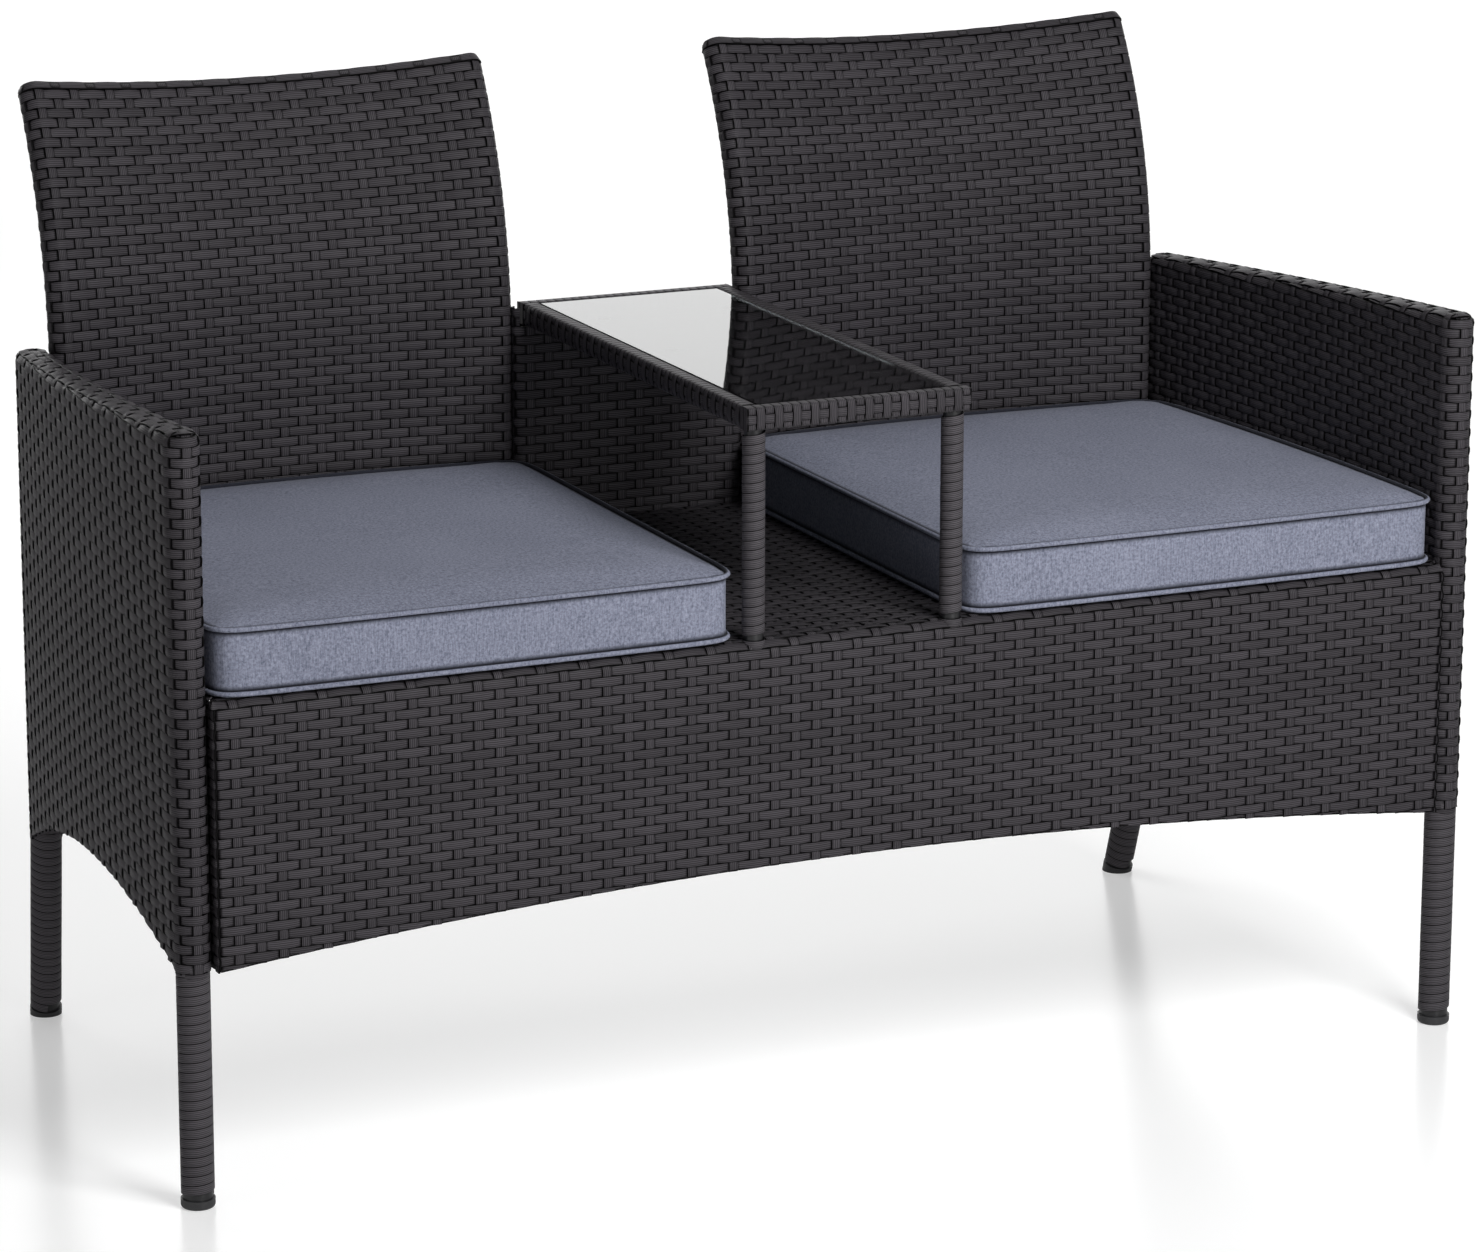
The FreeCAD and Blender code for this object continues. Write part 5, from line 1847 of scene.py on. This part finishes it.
class HardParts:
    """Finishes of the CAD pieces that keep their own shape."""

    # Satin black, so that the tubes stay in the shade where the weave lets one see them
    COAT = CoatFinish("powder_coated_steel_black", "#1c1c1e", "#2b2b2d", 0.42, 0.0, 0.0015, 0.00005)
    # Duller and a little lighter than the strip, with pale scuffs
    PLASTIC = CoatFinish("moulded_plastic_foot_dark_grey", "#2c2c2e", "#454548", 0.5, 0.0, 0.0008, 0.00004)
    # Bare light metal with darker patches
    BOLT = CoatFinish("zinc_plated_steel", "#a9abad", "#77797b", 0.38, 1.0, 0.0010, 0.00003)
    # Milky spots under the glass
    PAD = CoatFinish("soft_clear_pad", "#c9cccb", "#b4b8b7", 0.35, 0.0, 0.0020, 0.00004)

    def dress(self, nodes: dict, record: dict) -> None:
        """Gives every CAD node the finish of its record slot.

        Args:
            nodes: node name to object.
            record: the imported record.
        """
        finishes = {
            "tube": self.COAT.build(), "foot_plastic": self.PLASTIC.build(), "bolt_steel": self.BOLT.build(),
            "clear_pad": self.PAD.build(), "glass": GlassFinish().build(),
        }
        for part in record["subparts"]:
            finish = finishes.get(part["material_slot"])
            obj = nodes[part["node"]]
            if finish is None or obj.data is None:
                continue
            obj.data.materials.clear()
            obj.data.materials.append(finish)


@dataclass(frozen=True)
class Softbox:
    """Square soft lamp of the studio.

    Attributes:
        name: name of the lamp.
        place: where it is.
        target: what it points at.
        size: length of its side.
        power: power in watts.
    """

    name: str
    place: tuple[float, float, float]
    target: tuple[float, float, float]
    size: float
    power: float

    def build(self) -> None:
        """Adds the lamp to the scene."""
        data = bpy.data.lights.new(self.name, "AREA")
        data.size = self.size
        data.energy = self.power
        obj = bpy.data.objects.new(self.name, data)
        back = unit(np.array(self.place) - np.array(self.target))
        side = unit(np.cross(UP, back))
        up = np.cross(back, side)
        rows = [[side[i], up[i], back[i], self.place[i]] for i in range(3)]
        obj.matrix_world = Matrix(rows + [[0, 0, 0, 1]])
        bpy.context.scene.collection.objects.link(obj)


@dataclass(frozen=True)
class Studio:
    """Plain pale floor, soft studio lamps and the camera at the photograph's angle.

    Attributes:
        focal_px: focal length in pixels of the 1480 pixel wide image.
        place: camera position, y from the apron's front face.
        yaw: turn from +Y towards +X, degrees.
        pitch: angle below the horizon, degrees.
        roll: turn about the line of sight, degrees.
        fill: strength of the soft light from all around.
        softboxes: the lamps.
    """

    focal_px: float = 5650.0
    place: tuple[float, float, float] = (-1.97806, -4.12839, 1.60924)
    yaw: float = 24.361
    pitch: float = 14.419
    roll: float = 0.105
    fill: float = 0.10
    softboxes: tuple[Softbox, ...] = (
        Softbox("front_softbox", (0.45, -2.2, 2.15), (0.0, -0.1, 0.35), 1.1, 54.0),
        Softbox("low_front_softbox", (0.3, -3.6, 0.8), (0.0, 0.0, 0.35), 0.9, 20.0),
        Softbox("low_left_softbox", (-2.8, -0.6, 0.5), (0.0, 0.0, 0.3), 0.9, 5.0),
        Softbox("low_rear_softbox", (-1.0, 3.2, 1.2), (0.0, 0.0, 0.5), 1.1, 14.0),
        Softbox("upper_rear_softbox", (-0.1, 1.0, 2.5), (0.0, -0.2, 0.4), 1.1, 8.0),
    )

    def camera(self) -> None:
        """Makes the scene's camera."""
        data = bpy.data.cameras.new("camera")
        data.sensor_width = 36.0
        data.lens = self.focal_px / 1480 * 36.0
        data.clip_end = 60.0
        a, b, c = (math.radians(v) for v in (self.yaw, self.pitch, self.roll))
        ahead = np.array([math.sin(a) * math.cos(b), math.cos(a) * math.cos(b), -math.sin(b)])
        right = np.array([math.cos(a), -math.sin(a), 0.0])
        up = np.cross(right, ahead)
        right, up = right * math.cos(c) + up * math.sin(c), -right * math.sin(c) + up * math.cos(c)
        place = to_frame(np.array(self.place))
        obj = bpy.data.objects.new("camera", data)
        rows = [[right[i], up[i], -ahead[i], place[i]] for i in range(3)]
        obj.matrix_world = Matrix(rows + [[0, 0, 0, 1]])
        bpy.context.scene.collection.objects.link(obj)
        bpy.context.scene.camera = obj

    def floor(self) -> None:
        """Adds the pale floor, which keeps the soft shadow and a faint reflection."""
        g = Graph.material("studio_floor_pale")
        faint = g.add("TexNoise", {"Vector": g.add("TexCoord", take="Object"), "Scale": 3.0, "Detail": 2.0})
        seen = g.add("LightPath", take="Is Camera Ray")
        # To the camera the floor is lifted just to white where no shadow lies; to the bench it sends back
        # plain light from below
        shader = g.add("BsdfPrincipled", {
            "Base Color": (0.80, 0.80, 0.80, 1.0), "Specular IOR Level": 0.25,
            "Roughness": g.add("Math", (faint, 0.04, 0.20), operation="MULTIPLY_ADD"),
            "Emission Color": (1.0, 1.0, 1.0, 1.0),
            "Emission Strength": g.add("Math", (seen, 0.28, 0.12), operation="MULTIPLY_ADD")})
        size = 9.0
        verts = np.array([[-size, -size, 0], [size, -size, 0], [size, size, 0], [-size, size, 0]], float)
        floor = make_object("studio_floor", verts, np.array([[0, 1, 2, 3]]), g.finish(shader))

    def world(self) -> None:
        """White to the camera, else a soft fill, with a bright backdrop behind the bench in reflections."""
        g = Graph(bpy.data.worlds.new("studio"))
        path = g.add("LightPath").node.outputs
        way = g.add("SeparateXYZ", (g.add("TexCoord", take="Generated"),)).node.outputs
        behind = g.add("MapRange", (way["Y"], 0.2, 0.8, 0.0, 1.0))
        to_right = g.add("MapRange", (way["X"], 0.0, 0.3, 0.0, 1.0))
        corner = g.add("Math", (behind, to_right), operation="MULTIPLY")
        rear = g.add("MapRange", (corner, 0.0, 1.0, 0.25, 1.9))
        seen = g.add("Math", (path["Is Camera Ray"], path["Is Transmission Ray"]), operation="MAXIMUM")
        above_fill = g.add("Math", (rear, self.fill), operation="SUBTRACT")
        mirrored = g.add("Math", (path["Is Glossy Ray"], above_fill), operation="MULTIPLY")
        strength = g.add("Math", (self.fill, mirrored), operation="ADD")
        whole = g.add("Mix", {0: seen, 2: strength, 3: 1.0}, data_type="FLOAT")
        light = g.add("Background", {"Color": (1.0, 1.0, 1.0, 1.0), "Strength": whole})
        bpy.context.scene.world = g.finish(light)

    def build(self) -> None:
        """Makes camera, floor, lamps and world."""
        self.camera()
        self.floor()
        self.world()
        for softbox in self.softboxes:
            softbox.build()
        bpy.context.scene.view_settings.view_transform = "Standard"


def main() -> None:
    """Builds every sub-assembly in order."""
    logging.basicConfig(level=logging.INFO, format="%(name)s: %(message)s")
    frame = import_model()
    strip = StripFinish().build()
    # Wound strip lies flatter than woven strip and catches more light along its turns, so its colour is
    # painted lighter and its lit face wider
    wound = StripFinish(name="flat_wicker_strip_wound_satin_black", colour="#575458", flat=0.415).build()
    cloth = ClothFinish().build()
    HardParts().dress(frame["nodes"], frame["record"])
    LOG.info("hard parts dressed")
    for label, side in SIDES:
        ArmSide(label, side, strip, wound).build()
        Backrest(label, side, strip).build()
        Cushion(label, side, cloth).build()
        LOG.info("%s side built", label)
    Apron(strip).build()
    Deck(strip).build()
    CentrePanel(strip).build()
    Table(strip, wound).build()
    Studio().build()
    LOG.info("middle and studio built")


if __name__ == "__main__":
    main()
